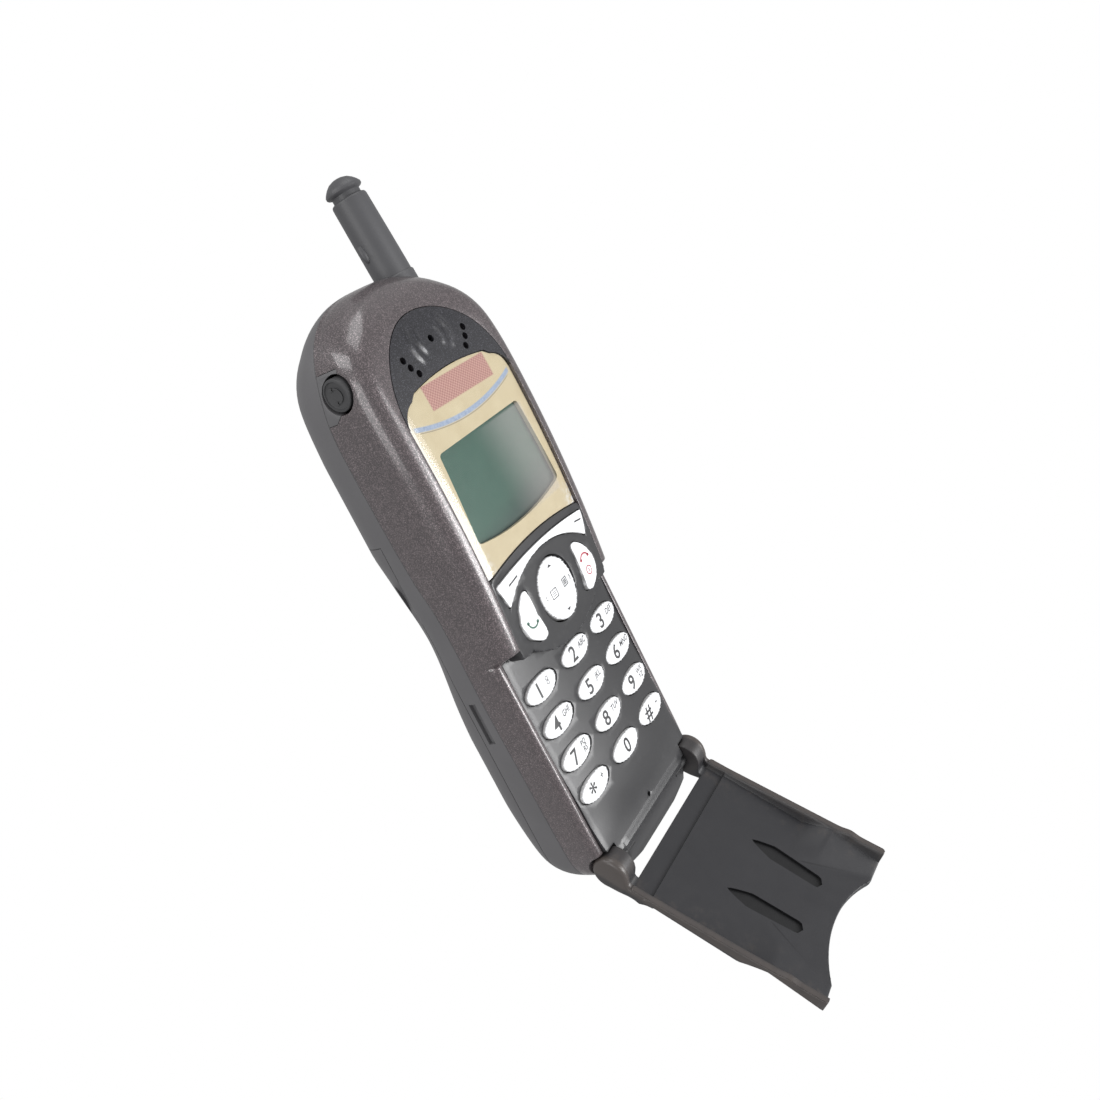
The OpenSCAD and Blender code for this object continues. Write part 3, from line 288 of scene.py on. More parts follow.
def spun(name, profile, matrix=None, steps=96, smooth=32):
    """A turned solid: profile is [radius, height] points, and the first and last lie on the axis or close a ring."""
    bm = bmesh.new()
    verts = [bm.verts.new((r, 0, z)) for r, z in profile]
    edges = [bm.edges.new(pair) for pair in zip(verts, verts[1:])]
    if profile[0][0] > 0.001 and profile[-1][0] > 0.001:
        edges.append(bm.edges.new((verts[-1], verts[0])))
    bmesh.ops.spin(bm, geom=verts + edges, cent=(0, 0, 0), axis=(0, 0, 1), angle=math.tau, steps=steps, use_merge=True,
                   dvec=(0, 0, 0))
    bmesh.ops.remove_doubles(bm, verts=bm.verts, dist=1e-4)
    if matrix:
        bmesh.ops.transform(bm, matrix=matrix, verts=bm.verts)
    return to_piece(bm, name, smooth)


def carve(piece, cutters, operation="DIFFERENCE", smooth=32):
    """Cuts the cutters out of the piece, or joins them to it, and removes them."""
    for c in cutters:
        mod = piece.modifiers.new("cut", "BOOLEAN")
        mod.operation, mod.object, mod.solver = operation, c, "EXACT"
    mesh = bpy.data.meshes.new_from_object(piece.evaluated_get(bpy.context.evaluated_depsgraph_get()))
    piece.modifiers.clear()
    piece.data = mesh
    for c in cutters:
        bpy.data.objects.remove(c)
    mesh.polygons.foreach_set("use_smooth", [True] * len(mesh.polygons))
    mesh.set_sharp_from_angle(angle=math.radians(smooth))
    return piece


def soften(piece, width=0.12, angle=35, segments=2, keep=None):
    """Rounds the piece's sharp edges by a small radius."""
    bm = bmesh.new()
    bm.from_mesh(piece.data)
    bmesh.ops.remove_doubles(bm, verts=bm.verts, dist=0.02 * MM)
    bmesh.ops.dissolve_degenerate(bm, edges=bm.edges, dist=0.01 * MM)
    edges = [e for e in bm.edges if e.is_manifold and e.calc_face_angle(0) > math.radians(angle)
             and e.calc_length() > 0.02 * MM and (keep is None or keep(e))]
    bmesh.ops.bevel(bm, geom=edges, offset=width * MM, offset_type="OFFSET", segments=segments, profile=0.5,
                    affect="EDGES", material=-1, clamp_overlap=True)
    bm.normal_update()
    bm.to_mesh(piece.data)
    bm.free()
    piece.data.polygons.foreach_set("use_smooth", [True] * len(piece.data.polygons))
    piece.data.set_sharp_from_angle(angle=math.radians(50))
    return piece


def turn_into(piece, matrix):
    """Moves the piece's mesh by a matrix in millimetres."""
    m = matrix.copy()
    m.translation = m.translation * MM
    piece.data.transform(m)
    return piece


# ---------------------------------------------------------------- outlines
def arc(r, start, end, n, cx=0.0, cy=0.0):
    return [(cx + r * math.cos(math.radians(t)), cy + r * math.sin(math.radians(t))) for t in spread(start, end, n)]


def oval(w, l, n=64, cx=0.0, cy=0.0):
    return [(cx + w / 2 * math.cos(t), cy + l / 2 * math.sin(t)) for t in (math.tau * i / n for i in range(n))]


def offset(points, d):
    """The outline moved outwards by d; it runs anticlockwise."""
    moved, n = [], len(points)
    for i, p in enumerate(points):
        before, after = Vector(points[i - 1]), Vector(points[(i + 1) % n])
        a, b = (Vector(p) - before).normalized(), (after - Vector(p)).normalized()
        na, nb = Vector((a.y, -a.x)), Vector((b.y, -b.x))
        mid = (na + nb)
        moved.append(tuple(Vector(p) + mid * (d / max(0.3, (1 + na.dot(nb))))))
    return moved


def rounded(points, r, n=6, sharp=20):
    """The outline with every sharp corner rounded."""
    out, count = [], len(points)
    for i, p in enumerate(points):
        p = Vector(p)
        a, b = Vector(points[i - 1]) - p, Vector(points[(i + 1) % count]) - p
        turn = math.pi - a.angle(b)
        if math.degrees(turn) < sharp:
            out.append(tuple(p))
            continue
        reach = min(r * math.tan(turn / 2), 0.48 * a.length, 0.48 * b.length)
        start, end = p + a.normalized() * reach, p + b.normalized() * reach
        for k in range(n + 1):
            t = k / n
            out.append(tuple(start * (1 - t) ** 2 + p * 2 * t * (1 - t) + end * t * t))
    return out


def window_edge(x):
    return WINDOW_BOTTOM_Y + WINDOW_BOTTOM_SAG * (1 - (x / HALF_PLATE) ** 2)


def window_outline(inset=0.0):
    w = HALF_PLATE - inset
    low = [(x, window_edge(x) + inset) for x in spread(-w, w, 24)]
    high = [(x, WINDOW_TOP_Y - inset - WINDOW_TOP_SAG * (x / HALF_PLATE) ** 2) for x in spread(w, -w, 24)]
    keep = WINDOW_CORNER - inset
    low_part = [p for p in low]
    high_part = [p for p in high if abs(p[0]) < w - keep * 0.8]
    corner_r = arc(keep, 0, 78, 8, w - keep, high[0][1] - keep + 0.4)
    corner_l = [(-x, y) for x, y in reversed(corner_r)]
    return low_part + corner_r + high_part[1:-1] + corner_l


ARCH_Y, ARCH_RISE = CROWN_Y - 26.75, 18.9


def face_opening(grow=0.0):
    w = HALF_PLATE + grow
    return [(-w, STEP_Y - 1), (w, STEP_Y - 1)] + [(math.cos(t) * w, ARCH_Y + math.sin(t) * (ARCH_RISE + grow))
                                                  for t in spread(0, math.pi, 60)]


SHOULDER_Y, SHOULDER_X, CLUSTER_ARC_R = STEP_Y - 1, 14.2, 22.0
CLUSTER_ARC_Y = SHOULDER_Y - 5.2 + CLUSTER_ARC_R


def cluster_outline():
    turn = math.degrees(math.asin(SHOULDER_X / CLUSTER_ARC_R))
    return rounded([(HALF_PLATE, SHOULDER_Y)] + [(x, window_edge(x) - FIT_GAP) for x in spread(HALF_PLATE, -HALF_PLATE, 24)]
                   + [(-HALF_PLATE, SHOULDER_Y)] + arc(CLUSTER_ARC_R, 270 - turn, 270 + turn, 24, 0, CLUSTER_ARC_Y), 0.6)


SOFT_HALF = HALF_PLATE - 0.7
SOFT_R = 25.0
SOFT_Y = WINDOW_BOTTOM_Y - 1.6 - SOFT_R


def soft_outline():
    high = [(x, WINDOW_BOTTOM_Y - 1.7 + 1.3 * (1 - (x / SOFT_HALF) ** 2)) for x in spread(SOFT_HALF, -SOFT_HALF, 30)]
    low = [(x, SOFT_Y + math.sqrt(SOFT_R ** 2 - x * x)) for x in spread(-SOFT_HALF + 1.5, SOFT_HALF - 1.5, 30)]
    return rounded(high + low, 0.45)


def call_outline(side=1):
    points = [(-9.4, 5.1), (-11.1, 5.1), (-13.6, 3), (-15.1, -0.2), (-14.2, -3.8), (-10.8, -6.2), (-8.6, -5.8), (-9.3, -1)]
    points = rounded(rounded([(x, y + NAV_Y) for x, y in points], 1.6, 5, 8), 0.5, 4, 14)
    return points if side == 1 else [(-x, y) for x, y in reversed(points)]


DIGITS = [("key_1", -1, 3, "1", ""), ("key_2", 0, 3, "2", "ABC"), ("key_3", 1, 3, "3", "DEF"),
          ("key_4", -1, 2, "4", "GHI"), ("key_5", 0, 2, "5", "JKL"), ("key_6", 1, 2, "6", "MNO"),
          ("key_7", -1, 1, "7", "PQ\nRS"), ("key_8", 0, 1, "8", "TUV"), ("key_9", 1, 1, "9", "WX\nYZ"),
          ("key_star", -1, 0, "*", "+"), ("key_0", 0, 0, "0", ""), ("key_hash", 1, 0, "#", "-")]


# ---------------------------------------------------------------- materials
class Value:
    """An output of a material's nodes, on which plain arithmetic works."""

    def __init__(self, paint, output):
        self.paint, self.output = paint, output

    def __add__(self, other): return self.paint.maths("ADD", self, other)
    def __radd__(self, other): return self.paint.maths("ADD", other, self)
    def __sub__(self, other): return self.paint.maths("SUBTRACT", self, other)
    def __rsub__(self, other): return self.paint.maths("SUBTRACT", other, self)
    def __mul__(self, other): return self.paint.maths("MULTIPLY", self, other)
    def __rmul__(self, other): return self.paint.maths("MULTIPLY", other, self)
    def __truediv__(self, other): return self.paint.maths("DIVIDE", self, other)
    def __rtruediv__(self, other): return self.paint.maths("DIVIDE", other, self)
    def __pow__(self, other): return self.paint.maths("POWER", self, other)
    def __rpow__(self, other): return self.paint.maths("POWER", other, self)
    def __neg__(self): return self.paint.maths("MULTIPLY", self, -1.0)
    def __gt__(self, other): return self.paint.maths("GREATER_THAN", self, other)
    def __lt__(self, other): return self.paint.maths("LESS_THAN", self, other)
    def __abs__(self): return self.paint.maths("ABSOLUTE", self)


class Paint:
    """A material and its nodes. Places are in millimetres in the row frame."""

    def __init__(self, name, colour, roughness=0.5, metallic=0.0, coat=0.0, coat_roughness=0.1, ior=1.5, specular=0.5):
        self.material = bpy.data.materials.new(name)
        self.material.use_nodes = True
        self.tree = self.material.node_tree
        self.shader = next(n for n in self.tree.nodes if n.type == "BSDF_PRINCIPLED")
        self.output = next(n for n in self.tree.nodes if n.type == "OUTPUT_MATERIAL")
        self.set("Base Color", (*colour, 1))
        self.set("Roughness", roughness)
        self.set("Metallic", metallic)
        self.set("Coat Weight", coat)
        self.set("Coat Roughness", coat_roughness)
        self.set("IOR", ior)
        self.set("Specular IOR Level", specular)
        self.colour = colour

    def put(self, socket, value):
        if isinstance(value, Value):
            self.tree.links.new(value.output, socket)
        else:
            socket.default_value = value

    def set(self, name, value):
        self.put(self.shader.inputs[name], value)
        return self

    def node(self, kind, settings=None, inputs=None, output=0):
        """Any node: its type, its settings, its inputs by name or number, and which output is wanted."""
        made = self.tree.nodes.new(kind)
        for key, value in (settings or {}).items():
            setattr(made, key, value)
        for key, value in (inputs or {}).items():
            self.put(made.inputs[key], value)
        return Value(self, made.outputs[output])

    def maths(self, operation, a, b=0.0, c=0.0, clamp=False):
        return self.node("ShaderNodeMath", {"operation": operation, "use_clamp": clamp}, {0: a, 1: b, 2: c})

    def clamp(self, value, low=0.0, high=1.0):
        return self.maths("MINIMUM", self.maths("MAXIMUM", value, low), high)

    def soft(self, value, start, end):
        """0 up to start, 1 from end on, and smooth between."""
        return self.node("ShaderNodeMapRange", {"interpolation_type": "SMOOTHSTEP"},
                         {"Value": value, "From Min": start, "From Max": end})

    def place(self):
        return self.node("ShaderNodeTexCoord", output="Object")

    def xyz(self):
        spot = self.place()
        return [self.node("ShaderNodeSeparateXYZ", inputs={0: spot}, output=i) * (1 / MM) for i in range(3)]

    def noise(self, per_mm, detail=2.0, rough=0.5, spot=None, distortion=0.0):
        return self.node("ShaderNodeTexNoise", inputs={"Vector": spot or self.place(), "Scale": per_mm / MM,
                                                       "Detail": detail, "Roughness": rough,
                                                       "Distortion": distortion}, output="Fac")

    def cells(self, per_mm, output="Color", feature="F1", spot=None):
        return self.node("ShaderNodeTexVoronoi", {"feature": feature},
                         {"Vector": spot or self.place(), "Scale": per_mm / MM}, output=output)

    def mix(self, factor, a, b):
        """A colour between a and b."""
        as_colour = [v if isinstance(v, Value) or len(v) == 4 else (*v, 1) for v in (a, b)]
        return self.node("ShaderNodeMix", {"data_type": "RGBA"}, {0: factor, 6: as_colour[0], 7: as_colour[1]}, output=2)

    def bump(self, height, depth, strength=1.0):
        """Raises the surface by height times depth, in millimetres."""
        return self.set("Normal", self.node("ShaderNodeBump", inputs={"Height": height, "Distance": depth * MM,
                                                                    "Strength": strength}))

    def give(self, *pieces):
        for piece in pieces:
            piece.data.materials.clear()
            piece.data.materials.append(self.material)
        return self


def sparkle_paint(name, base, fleck, share, rough=0.36, metallic=0.0, tint=None, coat=0.35):
    """Dark paint with fine bright flecks."""
    p = Paint(name, base, rough, metallic, coat, 0.12)
    pick = p.node("ShaderNodeSeparateColor", inputs={0: p.cells(9.0)}, output=0)
    shine = p.soft(pick, 1 - share, 1.0)
    cloud = p.noise(0.05, 3, 0.6)
    colour = p.mix(shine, p.mix(cloud, base, tint or [c * 1.35 for c in base]), fleck)
    p.set("Base Color", colour)
    p.set("Roughness", rough - 0.1 * shine + 0.08 * cloud)
    p.set("Metallic", metallic + 0.55 * shine)
    p.bump(pick, 0.012, 0.5)
    return p


def satin_plastic(name, base, rough, grain=0.01, coat=0.0, scuffs=0.25):
    """Moulded plastic with a fine grain and faint handling marks."""
    p = Paint(name, base, rough, coat=coat)
    cloud = p.noise(0.07, 4, 0.6)
    marks = p.soft(p.noise(0.6, 6, 0.7, distortion=1.5), 0.56, 0.72)
    p.set("Base Color", p.mix(cloud, base, [c * 1.3 + 0.003 for c in base]))
    p.set("Roughness", p.clamp(rough + scuffs * (marks - 0.3) * 0.5 + 0.1 * (cloud - 0.5)))
    p.bump(p.noise(3.5, 2, 0.6), grain, 0.6)
    return p


def worn_steel(name, base, rough):
    p = Paint(name, base, rough, 1.0)
    streak = p.noise(2.0, 3, 0.6)
    p.set("Base Color", p.mix(streak, base, [c * 0.8 for c in base]))
    p.set("Roughness", p.clamp(rough + 0.15 * (streak - 0.5)))
    p.bump(streak, 0.004, 0.4)
    return p


def print_paint(name, base, rough=0.35):
    p = Paint(name, base, rough)
    wear = p.noise(3, 3, 0.6)
    p.set("Base Color", p.mix(wear, base, [min(1, c * 1.5 + 0.012) for c in base]))
    return p


charcoal = sparkle_paint("charcoal_sparkle_paint", (0.044, 0.036, 0.039), (0.30, 0.25, 0.26), 0.30, 0.32,
                         tint=(0.060, 0.049, 0.052), coat=0.7)
plate_paint = sparkle_paint("ear_plate_sparkle", (0.009, 0.009, 0.012), (0.12, 0.12, 0.14), 0.20, 0.34)
panel_paint = satin_plastic("key_panel_plastic", (0.030, 0.030, 0.032), 0.34, 0.006)
rear_plastic = satin_plastic("rear_housing_plastic", (0.092, 0.090, 0.094), 0.46, 0.006)
flip_plastic = satin_plastic("flip_plastic", (0.019, 0.019, 0.022), 0.46, 0.02)
antenna_plastic = satin_plastic("antenna_plastic", (0.056, 0.056, 0.060), 0.5, 0.008)
black_plastic = satin_plastic("black_plastic", (0.012, 0.012, 0.013), 0.5)
rubber = satin_plastic("soft_black_rubber", (0.036, 0.036, 0.038), 0.55, 0.01)
steel = worn_steel("plain_steel", (0.55, 0.55, 0.57), 0.35)
tin = worn_steel("tinned_steel", (0.65, 0.65, 0.67), 0.3)
tungsten = worn_steel("heavy_metal", (0.35, 0.34, 0.31), 0.5)
gold = worn_steel("gold_contact", (0.85, 0.62, 0.26), 0.28)
foil = worn_steel("cell_foil", (0.6, 0.6, 0.62), 0.4)
dark_print = print_paint("dark_print", (0.02, 0.02, 0.022))
grey_print = print_paint("grey_print", (0.05, 0.05, 0.055))
green_print = print_paint("green_print", (0.035, 0.10, 0.07))
red_print = print_paint("red_print", (0.32, 0.03, 0.05))
white_plastic = satin_plastic("white_diffuser", (0.62, 0.62, 0.6), 0.5)
solder_mask = satin_plastic("board_mask", (0.02, 0.12, 0.05), 0.35)
silicone = satin_plastic("silicone", (0.5, 0.52, 0.52), 0.5)
film = satin_plastic("dome_film", (0.55, 0.55, 0.52), 0.2)


def wear_and_shade_flip(p):
    """Brownish worn lips and knuckles, and painted shade: the finger grooves painted near black and a dark line painted
    along the creases of the tray's corners.
    """
    x, y, z = p.xyz()
    c, s = math.cos(math.radians(131)), math.sin(math.radians(131))
    along = (y - HINGE_Y) * c + (z - HINGE_H) * s
    deep = (z - HINGE_H) * c - (y - HINGE_Y) * s
    width = abs(x)
    patchy = p.noise(0.35, 5, 0.65)
    base = p.mix(p.noise(0.07, 4, 0.6), (0.017, 0.017, 0.020), (0.027, 0.027, 0.030))
    lip = p.soft(width, 20.0, 21.3) * p.soft(2.2 - deep, 0, 1.4)
    worn = p.clamp(lip * (0.35 + 0.9 * patchy) + p.soft(4.6 - along, 0, 1) * 0.55 * patchy)
    colour = p.mix(worn, base, (0.070, 0.060, 0.056))
    dust = p.soft(patchy, 0.5, 0.75) * p.soft(width, 12, 21) * 0.5
    colour = p.mix(dust, colour, (0.060, 0.050, 0.045))
    # Painted shade: the floors of the two finger grooves are painted near black.
    groove = p.soft(deep - along * 0.02 - 1.12, 0, 0.12) * p.soft(2.6 - abs(width - 7.2), 0, 0.4) \
        * p.soft(9.4 - abs(along - 31.4), 0, 0.4) * p.soft(1.9 - (deep - along * 0.02), 0, 0.1)
    colour = p.mix(groove, colour, (0.004, 0.004, 0.005))
    # Painted shade: a thin dark line along each corner crease of the tray.
    fold = abs(width - 9 - (along - 33) * 0.43)
    crease_shade = p.soft(0.32 - fold, 0, 0.3) * p.soft(along, 33, 35) * p.soft(1.9 - deep, 0, 0.3)
    colour = p.mix(crease_shade * 0.8, colour, (0.005, 0.005, 0.006))
    p.set("Base Color", colour)
    p.set("Roughness", p.clamp(0.46 - 0.12 * worn + 0.2 * (patchy - 0.5)))


wear_and_shade_flip(flip_plastic)


def key_plastic(name):
    """White glossy key plastic, with painted shade: greyed where its surface turns down into its well, mottled by
    noise.
    """
    p = Paint(name, (0.86, 0.87, 0.89), 0.22, coat=0.3, coat_roughness=0.06)
    grime_and_shade = p.noise(1.2, 4, 0.65)
    facing = p.node("ShaderNodeSeparateXYZ", inputs={0: p.node("ShaderNodeNewGeometry", output="Normal")}, output=2)
    # Painted shade: surfaces facing away from +z, down into the well, are greyed; the noise mottles this and also
    # varies the roughness.
    low = 1 - p.soft(facing, 0.25, 0.8)
    p.set("Base Color", p.mix(p.clamp(low * (0.35 + 0.6 * grime_and_shade)), (0.86, 0.87, 0.89), (0.30, 0.29, 0.28)))
    p.set("Roughness", 0.2 + 0.15 * grime_and_shade)
    return p


key_white = key_plastic("key_white")

# ---------------------------------------------------------------- housings
cut_steps = 6


def rooms_upper():
    return body_loft("upper_room", spread(STEP_Y - 1, CROWN_SIDE_START, 12) + high_end(CROWN_SIDE_START, CROWN_Y - FACE_T, 12),
                     lambda y: section(half_w(y, WALL), seam_z(y) - 1, top_z(y, FACE_T), 0.5, grown(EDGE_R - 1, y),
                                       grown(EDGE_R - 1, y), steps=cut_steps))


def key_well():
    return body_loft("key_well", spread(CHIN_END_Y, STEP_Y, 14),
                     lambda y: [(half_w(y) - RIM_W, seam_z(y) - 1), (half_w(y) - RIM_W, WELL_TOP),
                                (RIM_W - half_w(y), WELL_TOP), (RIM_W - half_w(y), seam_z(y) - 1)])


def upper_form(name):
    return body_loft(name, BODY_STATIONS, lambda y: section(half_w(y), seam_z(y), top_z(y), 0.5, front_edge(y),
                                                            front_edge(y) * 1.2, groove=SEAM_GROOVE))


def back_edge(y):
    return grown(BACK_R, y, 0.36)


def lower_form(name):
    return body_loft(name, BODY_STATIONS, lambda y: section(half_w(y), seam_z(y), bottom_z(y), 0, back_edge(y), back_edge(y),
                                                            -1, groove=SEAM_GROOVE))


along_antenna = Matrix.Translation((ANTENNA_X, ANTENNA_Y, ANTENNA_Z)) @ Matrix.Rotation(math.radians(-90 - ANTENNA_LEAN), 4, "X")


def antenna_seats(tag):
    return [turn_into(rod("seat_" + tag, STUB_R + 0.35, (0, 0, -4), (0, 0, 8), 72), along_antenna),
            turn_into(rod("thread_" + tag, 3.1, (0, 0, -12), (0, 0, -2), 72), along_antenna)]


def notches():
    return [rod(f"notch_{s}", NOTCH_R, (s * (EAR_IN - 0.3), HINGE_Y, HINGE_H), (s * (HALF_BODY + 2), HINGE_Y, HINGE_H), 72)
            for s in (-1, 1)]


TAB = [(JACK_Y - 4.9, 7.5), (JACK_Y + 4.4, 7.5), (JACK_Y + 4.4, 17.2), (JACK_Y - 2.6, 16.9), (JACK_Y - 3.2, 15.2), (JACK_Y - 4.9, 13.0)]


def side_prism(name, points, x0, x1):
    """A solid of [y, z] points from x0 to x1."""
    piece = plate(name, points, flat(x1 - x0), flat(0), step=0)
    return turn_into(piece, Matrix(((0, 0, 1, x0), (1, 0, 0, 0), (0, 1, 0, 0), (0, 0, 0, 1))))


def tab_block(name, x0, x1, grow=0.0):
    """The part of the left side, round the plug, that belongs to the rear housing."""
    return side_prism(name, offset(TAB, grow), x0, x1)


front = upper_form("front_shell")
front_cutters = [
    rooms_upper(), key_well(),
    box("chin_cut", -HALF_BODY - 2, HALF_BODY + 2, CHIN_Y - 3, HINGE_Y + 4, CHIN_TOP, WELL_TOP),
    plate("face_seat", face_opening(FIT_GAP / 2), flat(WELL_TOP), lambda x, y: face_z(y) - PLATE_T - 0.05, step=3),
    box("cluster_cut", -HALF_PLATE + 0.6, HALF_PLATE - 0.6, STEP_Y - 3, WINDOW_BOTTOM_Y - 0.1, SEAM_H, WELL_TOP),
    box("display_cut", -16, 16, 12.25, 35.25, SEAM_H, WELL_TOP),
    rod("ear_cut", 5, (0, CROWN_Y - 17.6, SEAM_H), (0, CROWN_Y - 17.6, WELL_TOP), 48),
    rod("plug_cut", PLUG_R + 0.08, (-HALF_BODY - 2, JACK_Y, JACK_Z), (-HALF_BODY + 4, JACK_Y, JACK_Z), 72),
    tab_block("tab_cut", -HALF_BODY - 2, -HALF_BODY + 3.6, 0.09),
    box("connector_cut", -9.1, 9.1, CHIN_Y - 3, CHIN_END_Y + 0.9, 10.5, 16)] + notches() + antenna_seats("front")
carve(front, front_cutters)
soften(front, 0.16)
charcoal.give(front)

def bay_end(name, gap):
    """The wedge under the leaning end of the battery bay."""
    return side_prism(name, [(PACK_Y - gap - 2 * (1 + 4 / 2.9), -4), (PACK_Y + 3, -4), (PACK_Y + 3, 2.9), (PACK_Y - gap, 2.9)],
                      -HALF_BODY - 1, HALF_BODY + 1)


rear = lower_form("rear_shell")
bay = box("bay_cut", -HALF_BODY - 2, HALF_BODY + 2, CHIN_Y - 3, PACK_Y, -2, BAY_H)
carve(bay, [bay_end("bay_lean", 0)])
carve(rear, [box("connector_mouth", -9.1, 9.1, CHIN_Y - 3, HINGE_Y + 8, 12.2, 13)])
carve(rear, [box("connector_room", -9.1, 9.1, CHIN_Y + 0.4, HINGE_Y + 8, 12.5, 16)])
carve(rear, [
    body_loft("rear_upper_room", spread(PACK_Y + WALL, CROWN_SIDE_START, 6) + high_end(CROWN_SIDE_START, CROWN_Y - WALL, 10),
              lambda y: section(half_w(y, WALL), seam_z(y) + 1, bottom_z(y, WALL), 0, grown(BACK_R - WALL, y),
                                grown(BACK_R - WALL, y), -1, cut_steps)),
    body_loft("rear_lower_room", low_end(CHIN_Y + 2.2, CHIN_SIDE_START, 6) + spread(CHIN_SIDE_START, PACK_Y + WALL + 1, 8),
              lambda y: section(half_w(y, WALL), seam_z(y) + 1, BAY_H + WALL - 0.1, 0, 1, 1, -1, cut_steps)),
    bay, box("latch_cut", -6.2, 6.2, 22.85, 28.85, -2, 2.7), box("nose_way", -3.2, 3.2, PACK_Y - 4, 26, -2, 3.0),
    box("contact_cut", -6.9, 6.9, 16.8, 18.2, 6.6, 10.2)] + antenna_seats("rear")
    + [rod(f"screw_cut_{i}", 1.6, (x, y, 0), (x, y, BAY_H + 1.05), 32)
       for i, (x, y) in enumerate([(-19, CHIN_Y + 16.8), (19, CHIN_Y + 16.8), (-19, 14), (19, 14)])]
    + [plate(f"cradle_cut_{s}", [(s * 22.1, -26.5), (s * 26, -26.5), (s * 26, -16.5), (s * 22.1, -16.5)][::s],
             flat(10.5), flat(8.7), step=0) for s in (-1, 1)])
soften(rear, 0.14)
tab = upper_form("plug_tab")
carve(tab, [tab_block("tab_keep", -HALF_BODY - 2, -HALF_BODY + 3.5)], "INTERSECT")
carve(tab, [rod("tab_hole", PLUG_R + 0.08, (-HALF_BODY - 2, JACK_Y, JACK_Z), (-HALF_BODY + 4, JACK_Y, JACK_Z), 72),
            rooms_upper()])
soften(tab, 0.12)
rear_plastic.give(rear, tab)

pack = lower_form("pack_shell")
carve(pack, [box("pack_keep", -HALF_BODY - 1, HALF_BODY + 1, CHIN_Y - 2, PACK_Y - FIT_GAP, -1, BAY_H - FIT_GAP)], "INTERSECT")
carve(pack, [box("cell_cut", -17.55, 17.55, CHIN_Y + 13.95, -16.95, 1.95, BAY_H - 1.2),
             bay_end("pack_lean", FIT_GAP),
             box("pad_cut", -7.4, 7.4, 16.3, PACK_Y + 1, BAY_H - 1.2, BAY_H + 1)]
      + [rod(f"finger_cut_{s}", 9, (s * 30.2, 8, 5), (s * 30.2, 8, 9), 72) for s in (-1, 1)])
soften(pack, 0.16)
rear_plastic.give(pack)

# ---------------------------------------------------------------- key panel
panel = plate("panel", [(half_w(y) - RIM_W - FIT_GAP, y) for y in spread(CHIN_END_Y, STEP_Y - FIT_GAP, 24)]
              + [(RIM_W + FIT_GAP - half_w(y), y) for y in spread(STEP_Y - FIT_GAP, CHIN_END_Y, 24)],
              deck_z, lambda x, y: deck_z(x, y) - PANEL_T, step=1.7)
cluster = plate("cluster", cluster_outline(), lambda x, y: face_z(y), lambda x, y: DECK_H - 0.83, step=1.7, rim=0.45)


def tongue_z(x, y):
    """The block over the chin: a ridge, a slope down to the bowed end, and slanted sides."""
    line = [(CHIN_Y - 1.6, RIDGE_H - 3.2), (CHIN_Y - 0.4, RIDGE_H - 2.0), (HINGE_Y + 1.5, RIDGE_H), (HINGE_Y + 4.4, 21.9)]
    for (y0, z0), (y1, z1) in zip(line, line[1:]):
        if y <= y1:
            break
    z = z0 + (z1 - z0) * (y - y0) / (y1 - y0)
    return z - max(0, abs(x) - 14.6) * 0.45


def tongue_end(x):
    return CHIN_Y - TONGUE_OVER + TONGUE_ARC_R - math.sqrt(TONGUE_ARC_R ** 2 - x * x)


tongue = plate("tongue", [(x, tongue_end(x)) for x in spread(-TONGUE_HALF, TONGUE_HALF, 30)]
               + [(TONGUE_HALF, HINGE_Y + 4.4), (-TONGUE_HALF, HINGE_Y + 4.4)], tongue_z, flat(CHIN_TOP + 0.1), step=2,
               cuts_x=(-14.6, 14.6), cuts_y=(HINGE_Y + 1.5, CHIN_Y - 0.4))
carve(panel, [cluster, tongue], "UNION")
key_cuts = [plate(f"hole_{k[0]}", oval(KEY_W + 2 * KEY_GAP, KEY_L + 2 * KEY_GAP, 56, k[1] * COL_PITCH, ROW_LAST_Y + k[2] * ROW_PITCH),
                  flat(WELL_TOP), flat(14), step=0) for k in DIGITS]
key_cuts += [plate("hole_nav", oval(13.3, 14.7, 72, 0, NAV_Y), flat(WELL_TOP), flat(14), step=0),
             plate("hole_soft", offset(soft_outline(), KEY_GAP), flat(WELL_TOP), flat(14), step=0),
             plate("hole_call", offset(call_outline(), KEY_GAP), flat(WELL_TOP), flat(14), step=0),
             plate("hole_end", offset(call_outline(-1), KEY_GAP), flat(WELL_TOP), flat(14), step=0),
             rod("hole_mic", 0.55, (0, HINGE_Y + 3.7, 14), (0, HINGE_Y + 3.7, WELL_TOP), 24)]
carve(panel, key_cuts + notches())
soften(panel, 0.16)
panel_paint.give(panel)

# ---------------------------------------------------------------- keys
KEY_CROWN_R = 32.0


